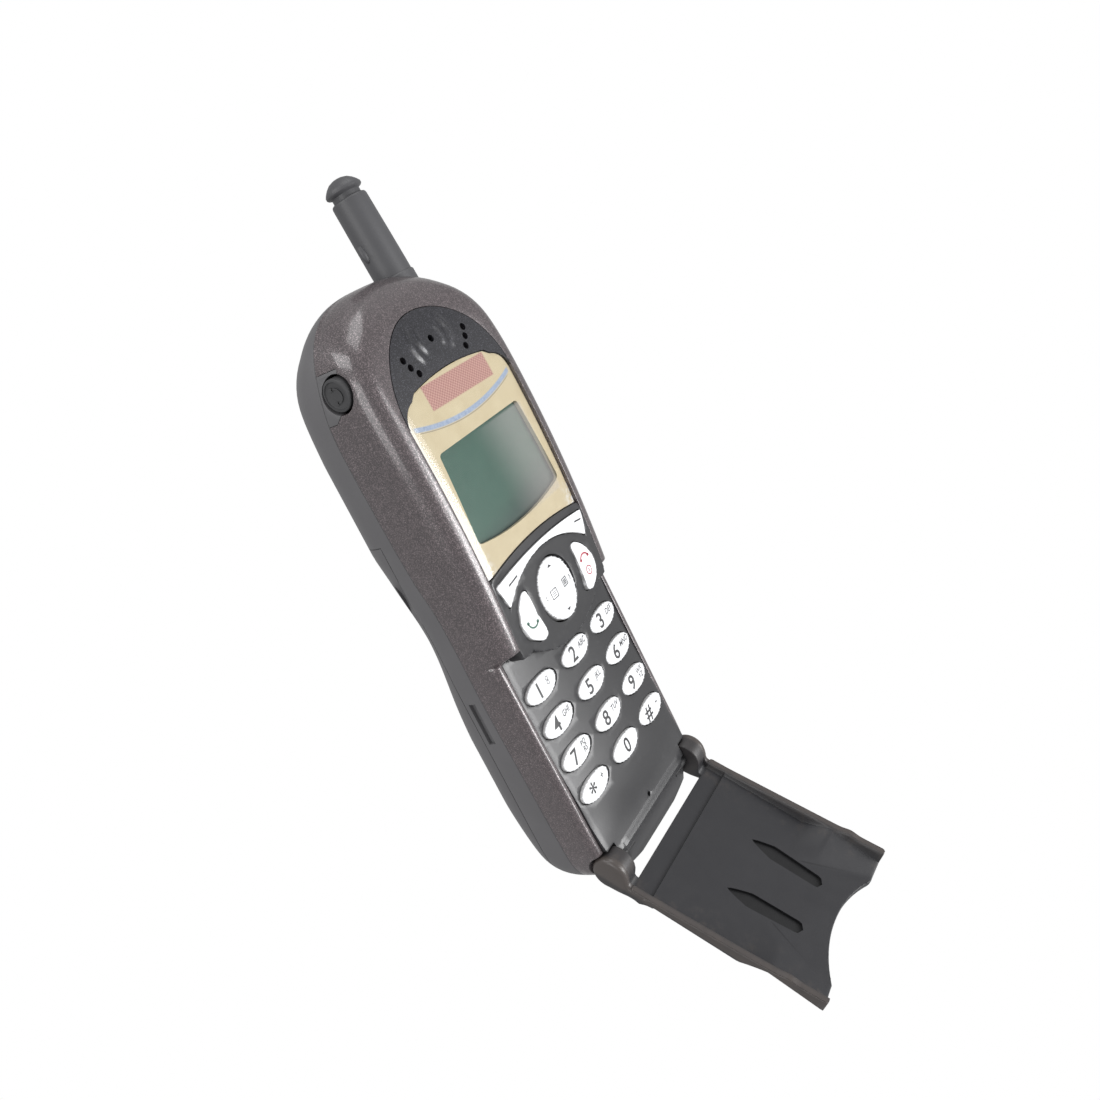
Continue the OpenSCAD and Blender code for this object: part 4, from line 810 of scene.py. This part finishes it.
def raised_print(name, body, text=None, size=3.0, at=(0, 0), surface=None, paint=None, spread_x=1.0, lines=None,
                 lift=0.02, bold=0.0, spacing=1.0, slant=0.0):
    """Printed characters, or printed shapes given as outlines, laid on a surface."""
    if text is not None:
        data = bpy.data.curves.new(name, "FONT")
        data.body, data.size, data.align_x, data.align_y = text, size, "CENTER", "CENTER"
        data.offset, data.space_line, data.space_character, data.shear = bold, spacing, 1.05, slant
        data.resolution_u = 3
        holder = bpy.data.objects.new(name, data)
        bpy.context.scene.collection.objects.link(holder)
        mesh = bpy.data.meshes.new_from_object(holder.evaluated_get(bpy.context.evaluated_depsgraph_get()))
        bpy.data.objects.remove(holder)
        bm = bmesh.new()
        bm.from_mesh(mesh)
        bpy.data.meshes.remove(mesh)
        bmesh.ops.remove_doubles(bm, verts=bm.verts, dist=1e-5)
    else:
        bm = bmesh.new()
        for line in lines:
            polygon(bm, line)
    cut_at(bm, 0, inner_steps([(v.co.x, v.co.y) for v in bm.verts], 0, 0.8))
    low = set(bm.verts)
    bmesh.ops.extrude_face_region(bm, geom=bm.faces[:], use_keep_orig=True)
    for v in bm.verts:
        v.co.x, v.co.y = v.co.x * spread_x + at[0], v.co.y + at[1]
        v.co.z = surface(v.co.x, v.co.y) + (-0.06 if v in low else lift)
    piece = to_piece(bm, name)
    paint.give(piece)
    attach(piece, body)
    return piece


def stroke(points, width):
    """The outline of a line of that width, anticlockwise."""
    left, right = [], []
    for i, p in enumerate(points):
        a, b = Vector(points[max(i - 1, 0)]), Vector(points[min(i + 1, len(points) - 1)])
        d = (b - a).normalized()
        n = Vector((-d.y, d.x)) * width / 2
        left.append(tuple(Vector(p) + n))
        right.append(tuple(Vector(p) - n))
    return right + left[::-1]


caps = {}
for node, col, row, digit, letters in DIGITS:
    kx, ky = col * COL_PITCH, ROW_LAST_Y + row * ROW_PITCH
    base = deck_z(kx, ky)

    def top(x, y, kx=kx, base=base):
        return base + KEY_PROUD - (x - kx) ** 2 / (2 * KEY_CROWN_R)

    piece = plate(node + "_cap", oval(KEY_W, KEY_L, 64, kx, ky), top, flat(base - 1.9), step=1.1, rim=0.42, smooth=60,
                  segments=4)
    key_white.give(piece)
    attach(piece, node + "_cap")
    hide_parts(node)
    caps[node] = piece
    size = 4.9 if digit not in "*" else 6.0
    raised_print(node + "_digit", node + "_cap", digit, size, (kx - (1.6 if letters or digit == "1" else 0.1), ky - 0.1 - (0.7 if digit == "*" else 0)),
                 top, dark_print, 0.92, bold=0.07)
    if letters:
        two = "\n" in letters
        small = {"+": 2.6, "-": 3.4}.get(letters, 1.95 if not two else 1.75)
        raised_print(node + "_letters", node + "_cap", letters, small, (kx + 2.5, ky + (0.45 if not two else 0.1)), top,
                     dark_print, 0.85, spacing=0.85, bold=0.012, slant=0.15)
    if digit == "1":
        ring = [stroke(arc(0.42, 0, 350, 20, 1.9, dy), 0.14) for dy in (0.85, -0.1)]
        raised_print("key_1_glyph", "key_1_cap", lines=ring, at=(kx, ky), surface=top, paint=grey_print)


def nav_top(x, y):
    return face_z(NAV_Y) + 0.7 - x ** 2 / (2 * KEY_CROWN_R) - (y - NAV_Y) ** 2 / 200


nav = plate("nav_cap", oval(12.4, 13.8, 88, 0, NAV_Y), nav_top, flat(face_z(NAV_Y) - 2), step=1.2, rim=0.55, smooth=60,
            segments=4)
key_white.give(nav)
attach(nav, "nav_rocker")
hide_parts("nav_key")


def soft_top(x, y):
    return face_z(y) + 0.35


soft = plate("soft_bar", soft_outline(), soft_top, lambda x, y: face_z(y) - 1.45, step=1.4, rim=0.22, smooth=60)
key_white.give(soft)
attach(soft, "soft_rocker")
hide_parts("soft_key_bar")


def side_top(x, y):
    return face_z(NAV_Y) + 0.45


for node, side in (("call_key", 1), ("end_key", -1)):
    piece = plate(node + "_cap", call_outline(side), side_top, flat(face_z(NAV_Y) - 2.1), step=1.5, rim=0.3, smooth=60)
    key_white.give(piece)
    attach(piece, node + "_cap")
    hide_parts(node)

raised_print("soft_dashes", "soft_rocker", lines=[stroke([(-13.7, 4.0), (-10.3, 4.45)], 0.34), stroke([(13.5, 4.2), (16.0, 3.75)], 0.34)],
             surface=soft_top, paint=dark_print)


def nav_mark(lines, name, paint=dark_print):
    return raised_print(name, "nav_rocker", lines=lines, surface=nav_top, paint=paint)


nav_mark([[(-0.75, NAV_Y + 5.0), (0.75, NAV_Y + 5.0), (0, NAV_Y + 5.6)], [(-0.75, NAV_Y - 4.9), (0, NAV_Y - 5.5), (0.75, NAV_Y - 4.9)]],
         "nav_arrows")
nav_mark([stroke([(-4.6, NAV_Y - 0.6), (-4.9, NAV_Y), (-4.6, NAV_Y + 0.6)], 0.22), stroke([(4.6, NAV_Y - 0.6), (4.9, NAV_Y), (4.6, NAV_Y + 0.6)], 0.22)],
         "nav_side_marks")


def glyph_box(cx, cy, w, h, t=0.2):
    return [stroke([(cx - w, cy - h), (cx + w, cy - h)], t), stroke([(cx - w, cy + h), (cx + w, cy + h)], t),
            stroke([(cx - w, cy - h - t / 2), (cx - w, cy + h + t / 2)], t), stroke([(cx + w, cy - h - t / 2), (cx + w, cy + h + t / 2)], t)]


nav_mark(glyph_box(-2.2, NAV_Y - 0.2, 1.0, 0.95) + [stroke([(-2.8, NAV_Y + 0.2), (-1.6, NAV_Y + 0.2)], 0.13), stroke([(-2.8, NAV_Y - 0.2), (-1.6, NAV_Y - 0.2)], 0.13),
                                                    stroke([(-2.8, NAV_Y - 0.6), (-1.6, NAV_Y - 0.6)], 0.13)], "nav_book", dark_print)
nav_mark(glyph_box(2.4, NAV_Y + 0.1, 0.85, 0.85) + [oval(0.34, 0.34, 10, 2.4 + dx, NAV_Y + 0.1 + dy) for dx in (-0.38, 0, 0.38) for dy in (-0.38, 0, 0.38)],
         "nav_keypad", dark_print)


def handset(cx, cy, turn, scale=1.0):
    """A telephone handset: a bowed grip with two ends."""
    c, s = math.cos(math.radians(turn)), math.sin(math.radians(turn))
    grip = arc(1.9, 205, 335, 14, 0, 1.2)
    ends = [oval(0.95, 0.8, 12, grip[0][0], grip[0][1] + 0.1), oval(0.95, 0.8, 12, grip[-1][0], grip[-1][1] + 0.1)]
    return [[(cx + scale * (c * x - s * y), cy + scale * (s * x + c * y)) for x, y in line] for line in [stroke(grip, 0.42)] + ends]


raised_print("call_glyph", "call_key_cap", lines=handset(-11.9, NAV_Y - 1.7, -20, 0.9), surface=side_top, paint=green_print)
raised_print("end_glyph", "end_key_cap", lines=handset(11.9, NAV_Y + 1.0, 180, 0.85), surface=side_top, paint=red_print)
raised_print("end_power", "end_key_cap", lines=[stroke(arc(0.95, 0, 352, 24, 11.7, NAV_Y - 2.3), 0.22), stroke([(11.7, NAV_Y - 2.7), (11.7, NAV_Y - 1.9)], 0.2)],
             surface=side_top, paint=red_print)

# ---------------------------------------------------------------- window and display
LCD = rounded([(-15.6, 14.4)] + [(x, 12.5 + 1.9 * (x / 15.6) ** 2) for x in spread(-13, 13, 12)] + [(15.6, 14.4), (14.1, 33.3)]
              + [(x, 33.3) for x in spread(12, -12, 4)] + [(-14.1, 33.3)], 1.3, sharp=30)


def lens_top(x, y):
    """The clear window is turned down along its sides."""
    side = max(0, abs(x) - HALF_PLATE + 2.7)
    return face_z(y) - 0.075 * side ** 2


print_layer = plate("window_print", window_outline(0.1), lambda x, y: lens_top(x, y) - 0.28, lambda x, y: face_z(y) - PLATE_T, step=1.6)
carve(print_layer, [plate("display_hole", LCD, flat(WELL_TOP), flat(20), step=0)])
lens = plate("window_lens", window_outline(0.08), lens_top, lambda x, y: lens_top(x, y) - 0.26, step=1.0, rim=0.12, smooth=60,
             cuts_x=[s * x for s in (-1, 1) for x in (15.2, 15.7, 16.2, 16.7, 17.2, 17.5)])
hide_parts("display_window")

# ---------------------------------------------------------------- earpiece plate
ear_top = [(x, y) for x, y in face_opening(-0.1)[2:]]
ear_low = [(-HALF_PLATE + 0.1, 38.2)] + [(x, y) for x, y in window_outline(-0.12) if y > 37 and abs(x) < HALF_PLATE + 0.2][::-1]
ear_outline = ear_top + [p for p in ear_low if p[1] > 38.2 and abs(p[0]) < HALF_PLATE - 0.12]


def ear_z(x, y):
    """The plate's face, with two pairs of raised crescents beside the middle hole."""
    z = face_z(y)
    d = math.hypot(x, y - 52.9)
    side = abs(math.degrees(math.atan2(y - 52.9, abs(x)))) if abs(x) > 0.1 else 90
    if side < 48:
        for r, reach in ((3.4, 44), (5.9, 40)):
            if side < reach:
                z += 0.42 * max(0, 1 - ((d - r) / 0.75) ** 2) * math.cos(math.radians(side / reach * 90)) ** 0.5
    return z


ear = plate("ear_plate", ear_outline, ear_z, lambda x, y: face_z(y) - PLATE_T, step=0.45, smooth=60)
holes = [(0, CROWN_Y - 14.1)] + [(s * x, CROWN_Y - y) for s in (-1, 1) for x, y in ((10.1, 15.2), (9.3, 17.0), (8.0, 18.7))]
carve(ear, [rod(f"sound_hole_{i}", 0.75, (x, y, 14), (x, y, WELL_TOP), 32) for i, (x, y) in enumerate(holes)], smooth=40)
plate_paint.give(ear)
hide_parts("earpiece_plate")

# ---------------------------------------------------------------- flip
in_flip = Matrix.Translation((0, HINGE_Y, HINGE_H)) @ Matrix.Rotation(math.radians(131), 4, "X")
TIP_ARC_R, TIP_DIP = 30.0, 4.0


def tip_u(x):
    return min(FLIP_LEN, FLIP_LEN - TIP_DIP + TIP_ARC_R - math.sqrt(TIP_ARC_R ** 2 - x * x))


FLARE_SLOPE = 0.26


def flare(x, u):
    """How far the tray's corners bend inwards beyond the creases."""
    line = 9 + (u - 33) * 0.43
    return FLARE_SLOPE * max(0, min(1, (u - 31) / 6)) * max(0, abs(x) - line)


def nub(x, u):
    return 0.5 * math.exp(-((u - 41) / 1.6) ** 2)


def tray_inside(x, u):
    floor = 1 + 0.02 * u
    lip = 0.1 - 1.85 * max(0, u - BAR_STEP) / (FLIP_LEN - BAR_STEP) - nub(x, u)
    side = abs(x) - (FLIP_HALF - LIP_T - 0.5)
    blend = max(0, min(1, side / 0.55))
    blend = blend * blend * (3 - 2 * blend)
    base = floor + (0.5 if u < BAR_STEP - 0.01 else 0) - flare(x, u)
    return base * (1 - blend) + lip * blend


def tray_outside(x, u):
    side = max(0, abs(x) - (FLIP_HALF - 2.2))
    drop = 2.2 - math.sqrt(max(0, 2.2 ** 2 - side ** 2))
    return 1 + 0.02 * u + FLIP_T + 0.2 - drop * 0.9 - flare(x, u) * 0.8


TIP_EDGE_X = 15.03
TRAY_HALF = FLIP_HALF - 0.04
tray_outline = rounded([(-TRAY_HALF, BAR_IN), (TRAY_HALF, BAR_IN), (TRAY_HALF, FLIP_LEN)]
                       + [(x, tip_u(x)) for x in spread(TIP_EDGE_X, -TIP_EDGE_X, 40)] + [(-TRAY_HALF, FLIP_LEN)], 0.8)
lip_cuts = [s * x for s in (-1, 1) for x in (20.1, 20.25, 20.4, 20.55, 20.7, 21.0, 21.4, 21.8, 22.05)]
tray = plate("flip_tray", tray_outline, tray_outside, tray_inside, step=0.7, smooth=40, foot=0.2, rim=0.2,
             cuts_x=lip_cuts, cuts_y=(BAR_STEP - 0.06, BAR_STEP + 0.06))
GROOVE_IN, GROOVE_START, GROOVE_END, GROOVE_HALF, GROOVE_DEEP = 7.2, 22.5, 40.2, 1.95, 0.65


def groove_outline(side):
    """A finger groove: pointed towards the hinge, widest near its start and round at its far end."""
    half = []
    for t in spread(0, 1, 24):
        wide = min(1, (t / 0.3)) ** 0.75 * (1 - 0.3 * max(0, t - 0.3))
        if t > 0.92:
            wide *= math.sqrt(max(0, 1 - ((t - 0.92) / 0.08) ** 2))
        lean = side * 0.9 * (0.5 - t)
        half.append((GROOVE_START + t * (GROOVE_END - GROOVE_START), wide * GROOVE_HALF, side * GROOVE_IN + lean))
    return [(mid + wide, u) for u, wide, mid in half] + [(mid - wide, u) for u, wide, mid in half[-2:0:-1]]


carve(tray, [plate(f"groove_{s}", groove_outline(s), lambda x, u: 1 + 0.02 * u + GROOVE_DEEP, flat(-3), step=3) for s in (-1, 1)],
      smooth=40)
turn_into(tray, in_flip)


ARM_T = 1.75


def arm_side():
    """An ear of the flip from the side, as [u, z] points: round the knuckle and along the thin arm into the tray's lip."""
    inner = [(3.6, -1.9), (4.15, -0.95), (4.45, -0.25), (4.8, 0.12), (5.6, 0.3), (7.0, 0.3), (8.8, 0.2), (BAR_STEP + 1.4, 0.12)]
    outer = [(BAR_STEP + 1.4, 2.3), (8.2, 2.75), (5.6, 3.15), (3.2, 3.65)]
    return arc(KNUCKLE_R, 75, 318, 48) + inner + outer


def knuckle_side():
    """The knuckle behind the arm, with the web down to the bar."""
    web = [(3.5, -2.0), (4.05, -0.9), (4.3, 0.2), (4.45, 1.0), (4.9, 1.45), (5.6, 1.62), (6.8, 1.62)]
    return arc(KNUCKLE_R - 0.03, 75, 318, 48) + web + [(6.8, 2.5), (5.5, 3.05), (3.2, 3.6)]


for side in (-1, 1):
    for part, outline, x0, x1, rim in (("arm", arm_side(), FLIP_HALF - ARM_T, FLIP_HALF, 0.95),
                                       ("knuckle", knuckle_side(), EAR_IN, FLIP_HALF - ARM_T / 2, 0)):
        ear_part = plate(f"flip_{part}_{side}", outline, flat(x1 - x0), flat(0), step=0, rim=rim, foot=0.35, segments=5,
                         smooth=40)
        stand = Matrix(((0, 0, side, side * x0), (1, 0, 0, 0), (0, 1, 0, 0), (0, 0, 0, 1)))
        turn_into(ear_part, in_flip @ stand)
        carve(ear_part, [rod("pin_cut", PIN_R, (side * (EAR_IN - 1), HINGE_Y, HINGE_H), (side * (FLIP_HALF - 1), HINGE_Y, HINGE_H), 48)],
              smooth=40)
        flip_plastic.give(ear_part)
        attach(ear_part, "flip")
flip_plastic.give(tray)
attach(tray, "flip")
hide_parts("flip_cover")

# ---------------------------------------------------------------- antenna and plug
STUB_TOP = COLLAR_TOP + STUB_LEN
stub = spun("stub", [(0.98, -8), (2.98, -8), (2.98, COLLAR_TOP + 0.02), (STUB_R, COLLAR_TOP + 0.02), (STUB_R, 2), (STUB_R * 0.985, 8),
                     (STUB_R * 0.955, STUB_TOP - 0.7), (STUB_R * 0.94, STUB_TOP - 0.35), (STUB_R * 0.9, STUB_TOP - 0.12),
                     (STUB_R * 0.84, STUB_TOP), (0.98, STUB_TOP)], along_antenna, smooth=35)
bm = bmesh.new()
bmesh.ops.create_uvsphere(bm, u_segments=24, v_segments=16, radius=1)
bmesh.ops.transform(bm, matrix=along_antenna @ Matrix.Translation((-3.9, 0.4, 6.2)) @ Matrix.Diagonal((1.05, 0.9, 2.0, 1)), verts=bm.verts)
bump_piece = to_piece(bm, "stub_nib")
carve(stub, [bump_piece], "UNION", 35)
antenna_plastic.give(stub)
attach(stub, "phone")
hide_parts("antenna_stub")
CAP_R = STUB_R - 0.1
whip = spun("whip_and_cap", [(0, STUB_TOP + 4.3), (1.2, STUB_TOP + 4.2), (2.2, STUB_TOP + 3.85), (3.0, STUB_TOP + 3.25), (3.6, STUB_TOP + 2.6),
                             (CAP_R, STUB_TOP + 2.0), (CAP_R, STUB_TOP + 1.6), (CAP_R - 0.2, STUB_TOP + 1.35), (3.3, STUB_TOP + 1.15), (3.1, STUB_TOP + 1.0), (3.1, STUB_TOP + 0.02),
                             (0.9, STUB_TOP + 0.02), (0.9, STUB_TOP - 63.7), (1.4, STUB_TOP - 63.7), (1.4, STUB_TOP - 65.7), (0, STUB_TOP - 65.7)],
            along_antenna, smooth=35)
antenna_plastic.give(whip)
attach(whip, "whip")
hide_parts("antenna_whip")

plug = spun("plug_cap", [(0, -3.5), (PLUG_R - 0.45, -3.5), (PLUG_R - 0.45, -0.3), (PLUG_R - 0.6, -0.12), (PLUG_R - 0.95, -0.05), (PLUG_R - 1.1, -0.3),
                         (PLUG_R - 1.25, -0.35), (0, -0.3)],
            Matrix.Translation((-HALF_BODY + 0.55, JACK_Y, JACK_Z)) @ Matrix.Rotation(math.radians(-90), 4, "Y"))
rubber.give(plug)
glyph = raised_print("plug_headset_glyph", "plug", lines=[stroke(arc(1.35, -20, 200, 22), 0.32), oval(0.75, 1.2, 16, -1.35, -0.75),
                                                          oval(0.75, 1.2, 16, 1.35, -0.75)], surface=flat(-0.3), paint=rubber, lift=0.16)
turn_into(glyph, Matrix.Translation((-HALF_BODY + 0.55, JACK_Y, JACK_Z)) @ Matrix.Rotation(math.radians(-90), 4, "Y")
          @ Matrix.Rotation(math.radians(-90), 4, "Z"))
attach(plug, "plug")
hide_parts("jack_plug")

for piece, node in ((front, "front_housing"), (rear, "rear_housing"), (panel, "key_panel")):
    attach(piece, "phone")
    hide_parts(node)
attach(pack, "battery")
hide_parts("battery_pack")
for piece in (tab, print_layer, lens, ear):
    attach(piece, "phone")

# ---------------------------------------------------------------- window materials
p = Paint("window_print_paint", (0.60, 0.47, 0.27), 0.5)
x, y, z = p.xyz()
stain = p.noise(0.25, 4, 0.6)
beige = p.mix(stain, (0.50, 0.40, 0.25), (0.64, 0.55, 0.38))
u = x * 0.985 + (y - 43) * 0.0
v = y - 43.0 + 0.02 * x
inside = p.soft(abs(u - 1.0) * -1 + 10.6, 0, 0.5) * p.soft(abs(v) * -1 + 2.7, 0, 0.3)
thread = p.maths("SINE", x * 7.2) * p.maths("SINE", y * 8.4) * 0.5 + 0.5
fray = p.noise(2.5, 3, 0.7)
pink = p.mix(p.clamp(thread * 0.75 + fray * 0.35), (0.26, 0.09, 0.08), (0.58, 0.34, 0.30))
colour = p.mix(p.clamp(inside * (0.75 + 0.5 * fray)), beige, pink)
arc_y = 37.0 + 2.4 * (x / 16) ** 2
streak = p.soft(abs(y - arc_y) * -1 + 0.62, 0, 0.25) * p.soft(abs(x) * -1 + 17, 0, 1)
blue = p.mix(p.noise(1.4, 3, 0.6), (0.16, 0.22, 0.36), (0.46, 0.52, 0.64))
colour = p.mix(streak, colour, blue)
edge = p.soft(abs(y - arc_y + 0.75) * -1 + 0.16, 0, 0.12) * p.soft(abs(x) * -1 + 16, 0, 1)
colour = p.mix(edge * 0.6, colour, (0.14, 0.13, 0.13))
# Painted highlight: a white band along the window's left edge, standing in for glare.
colour = p.mix(p.soft(-x, 16.4, 17.2) * 0.7, colour, (0.92, 0.90, 0.86))
pale = p.soft(abs(x), 13.5, 17.2) * p.soft(14.0 - y, 0, 5) * p.soft(p.noise(0.9, 3, 0.6), 0.42, 0.6)
colour = p.mix(pale * 0.8, colour, (0.80, 0.80, 0.84))
p.set("Base Color", colour)
p.set("Roughness", 0.45 + 0.2 * stain)
p.give(print_layer)

display_green = Paint("display_green", (0.03, 0.075, 0.055), 0.3)
x, y, z = display_green.xyz()
scratch = display_green.soft(display_green.noise(1.6, 6, 0.75, distortion=2.0), 0.60, 0.72)
grain = display_green.noise(0.4, 4, 0.6)
green = display_green.mix(grain, (0.030, 0.088, 0.066), (0.048, 0.118, 0.09))
# Painted shade: the display darkens towards its bottom edge.
green = display_green.mix(display_green.soft(20.0 - y + 0.25 * x, 0, 9) * 0.7, green, (0.030, 0.040, 0.043))
rim_strip = display_green.soft(-13.84 - 0.055 * (33.3 - y) - x, -0.05, 0.15)
green = display_green.mix(rim_strip * 0.75, green, (0.30, 0.33, 0.28))
display_green.set("Base Color", display_green.mix(scratch * 0.4, green, (0.20, 0.27, 0.23)))
display_green.set("Roughness", 0.3 + 0.3 * scratch)

p = Paint("clear_window", (0.9, 0.9, 0.9), 0.05)
glossy = p.node("ShaderNodeBsdfGlossy", inputs={"Color": (1, 1, 1, 1), "Roughness": 0.15})
clear = p.node("ShaderNodeBsdfTransparent", inputs={"Color": (0.97, 0.975, 0.97, 1)})
fresnel = p.node("ShaderNodeFresnel", inputs={"IOR": 1.49})
scuff = p.soft(p.noise(2.2, 6, 0.75, distortion=2.5), 0.60, 0.70)
behind = p.node("ShaderNodeNewGeometry", output="Backfacing")
share = p.clamp(fresnel + 0.04 * scuff) * (1 - behind)
x, y, z = p.xyz()
over_display = p.soft(15.0 - abs(x), 0, 0.8) * p.soft(10.6 - abs(y - 22.6), 0, 0.8)
# Painted reflection over the display: a grey diffuse layer growing towards +x, plus real scuffs.
sheen_and_haze = p.soft(x + 0.1 * (y - 23), -3.5, 11.5) * (0.10 + 0.07 * p.noise(1.1, 5, 0.7)) + 0.10 * scuff
veil = p.node("ShaderNodeBsdfDiffuse", inputs={"Color": (0.72, 0.69, 0.67, 1)})
sheen_and_haze_mix = p.node("ShaderNodeMixShader", inputs={0: p.clamp(sheen_and_haze * over_display), 1: clear, 2: veil})
mixed = p.node("ShaderNodeMixShader", inputs={0: share, 1: sheen_and_haze_mix, 2: glossy})
p.tree.links.new(mixed.output, p.output.inputs["Surface"])
p.give(lens)

# ---------------------------------------------------------------- CAD nodes that stay
carried = {"lcd_glass": display_green, "lcd_holder": white_plastic, "circuit_board": solder_mask, "key_mat": silicone, "dome_sheet": film,
           "hinge_pins": black_plastic, "antenna_collar": antenna_plastic, "antenna_clip": gold, "headset_jack": black_plastic,
           "earpiece": black_plastic, "microphone": steel, "mic_boot": rubber, "rf_shield": tin, "baseband_shield": tin, "ringer": black_plastic,
           "vibration_motor": tin, "vibration_weight": tungsten, "backup_cell": tin, "system_connector": black_plastic,
           "battery_contacts": gold, "battery_cell": foil, "battery_latch": rear_plastic, "case_screws": steel}
for name, paint in carried.items():
    paint.give(nodes[name])

# ---------------------------------------------------------------- camera and light
scene = bpy.context.scene
camera_data = bpy.data.cameras.new("camera")
camera_data.lens, camera_data.sensor_width = 36 * 1040 / 1100, 36
camera_data.clip_start, camera_data.clip_end = 0.01, 10
camera = bpy.data.objects.new("camera", camera_data)
scene.collection.objects.link(camera)
camera_right, camera_up, camera_back = Vector((0.4905, -0.4154, 0.7661)), Vector((0.4779, 0.8633, 0.1622)), Vector((-0.7287, 0.2865, 0.622))
turn = Matrix((camera_right, camera_up, camera_back)).transposed().to_4x4()
camera.matrix_world = Matrix.Translation(Vector((-155.33, 65.36, 159.68)) * MM) @ turn
scene.camera = camera
scene.view_settings.view_transform = "Standard"

world = bpy.data.worlds.new("white_room")
scene.world = world
world.use_nodes = True
tree = world.node_tree
tree.nodes.clear()
path = tree.nodes.new("ShaderNodeLightPath")
seen = tree.nodes.new("ShaderNodeMath")
seen.operation = "MAXIMUM"
tree.links.new(path.outputs["Is Camera Ray"], seen.inputs[0])
through = tree.nodes.new("ShaderNodeMath")
through.operation = "MAXIMUM"
through.inputs[0].default_value = 0.0
tree.links.new(path.outputs["Is Transmission Ray"], through.inputs[1])
tree.links.new(through.outputs[0], seen.inputs[1])
white, soft_light = tree.nodes.new("ShaderNodeBackground"), tree.nodes.new("ShaderNodeBackground")
white.inputs["Color"].default_value, white.inputs["Strength"].default_value = (1, 1, 1, 1), 1.0
soft_light.inputs["Color"].default_value, soft_light.inputs["Strength"].default_value = (1, 1, 1, 1), 0.5
choose, out = tree.nodes.new("ShaderNodeMixShader"), tree.nodes.new("ShaderNodeOutputWorld")
tree.links.new(seen.outputs[0], choose.inputs[0])
tree.links.new(soft_light.outputs[0], choose.inputs[1])
tree.links.new(white.outputs[0], choose.inputs[2])
tree.links.new(choose.outputs[0], out.inputs["Surface"])

middle = Vector((0, 5, 15)) * MM


def softbox(name, direction, distance, width, height, strength):
    """An area lamp seen from the object in a direction given in the camera's right, up and back."""
    way = (camera_right * direction[0] + camera_up * direction[1] + camera_back * direction[2]).normalized()
    data = bpy.data.lights.new(name, "AREA")
    data.shape, data.size, data.size_y = "RECTANGLE", width, height
    data.energy = strength * width * height * math.pi / 4 * 4
    lamp = bpy.data.objects.new(name, data)
    scene.collection.objects.link(lamp)
    lamp.matrix_world = Matrix.Translation(middle + way * distance) @ way.to_track_quat("Z", "Y").to_matrix().to_4x4()
    return lamp


softbox("right_softbox", (0.9, 0.15, 0.42), 0.8, 0.45, 0.6, 3.6)
softbox("rim_softbox", (0.96, 0.06, 0.22), 0.9, 0.4, 0.4, 9.0)
softbox("top_softbox", (-0.1, 0.95, 0.3), 0.8, 0.6, 0.4, 2.6)
softbox("left_softbox", (-0.75, 0.35, 0.55), 0.9, 0.3, 0.6, 4.0)
softbox("front_softbox", (-0.55, -0.3, 0.8), 1.2, 0.7, 0.7, 3.2)
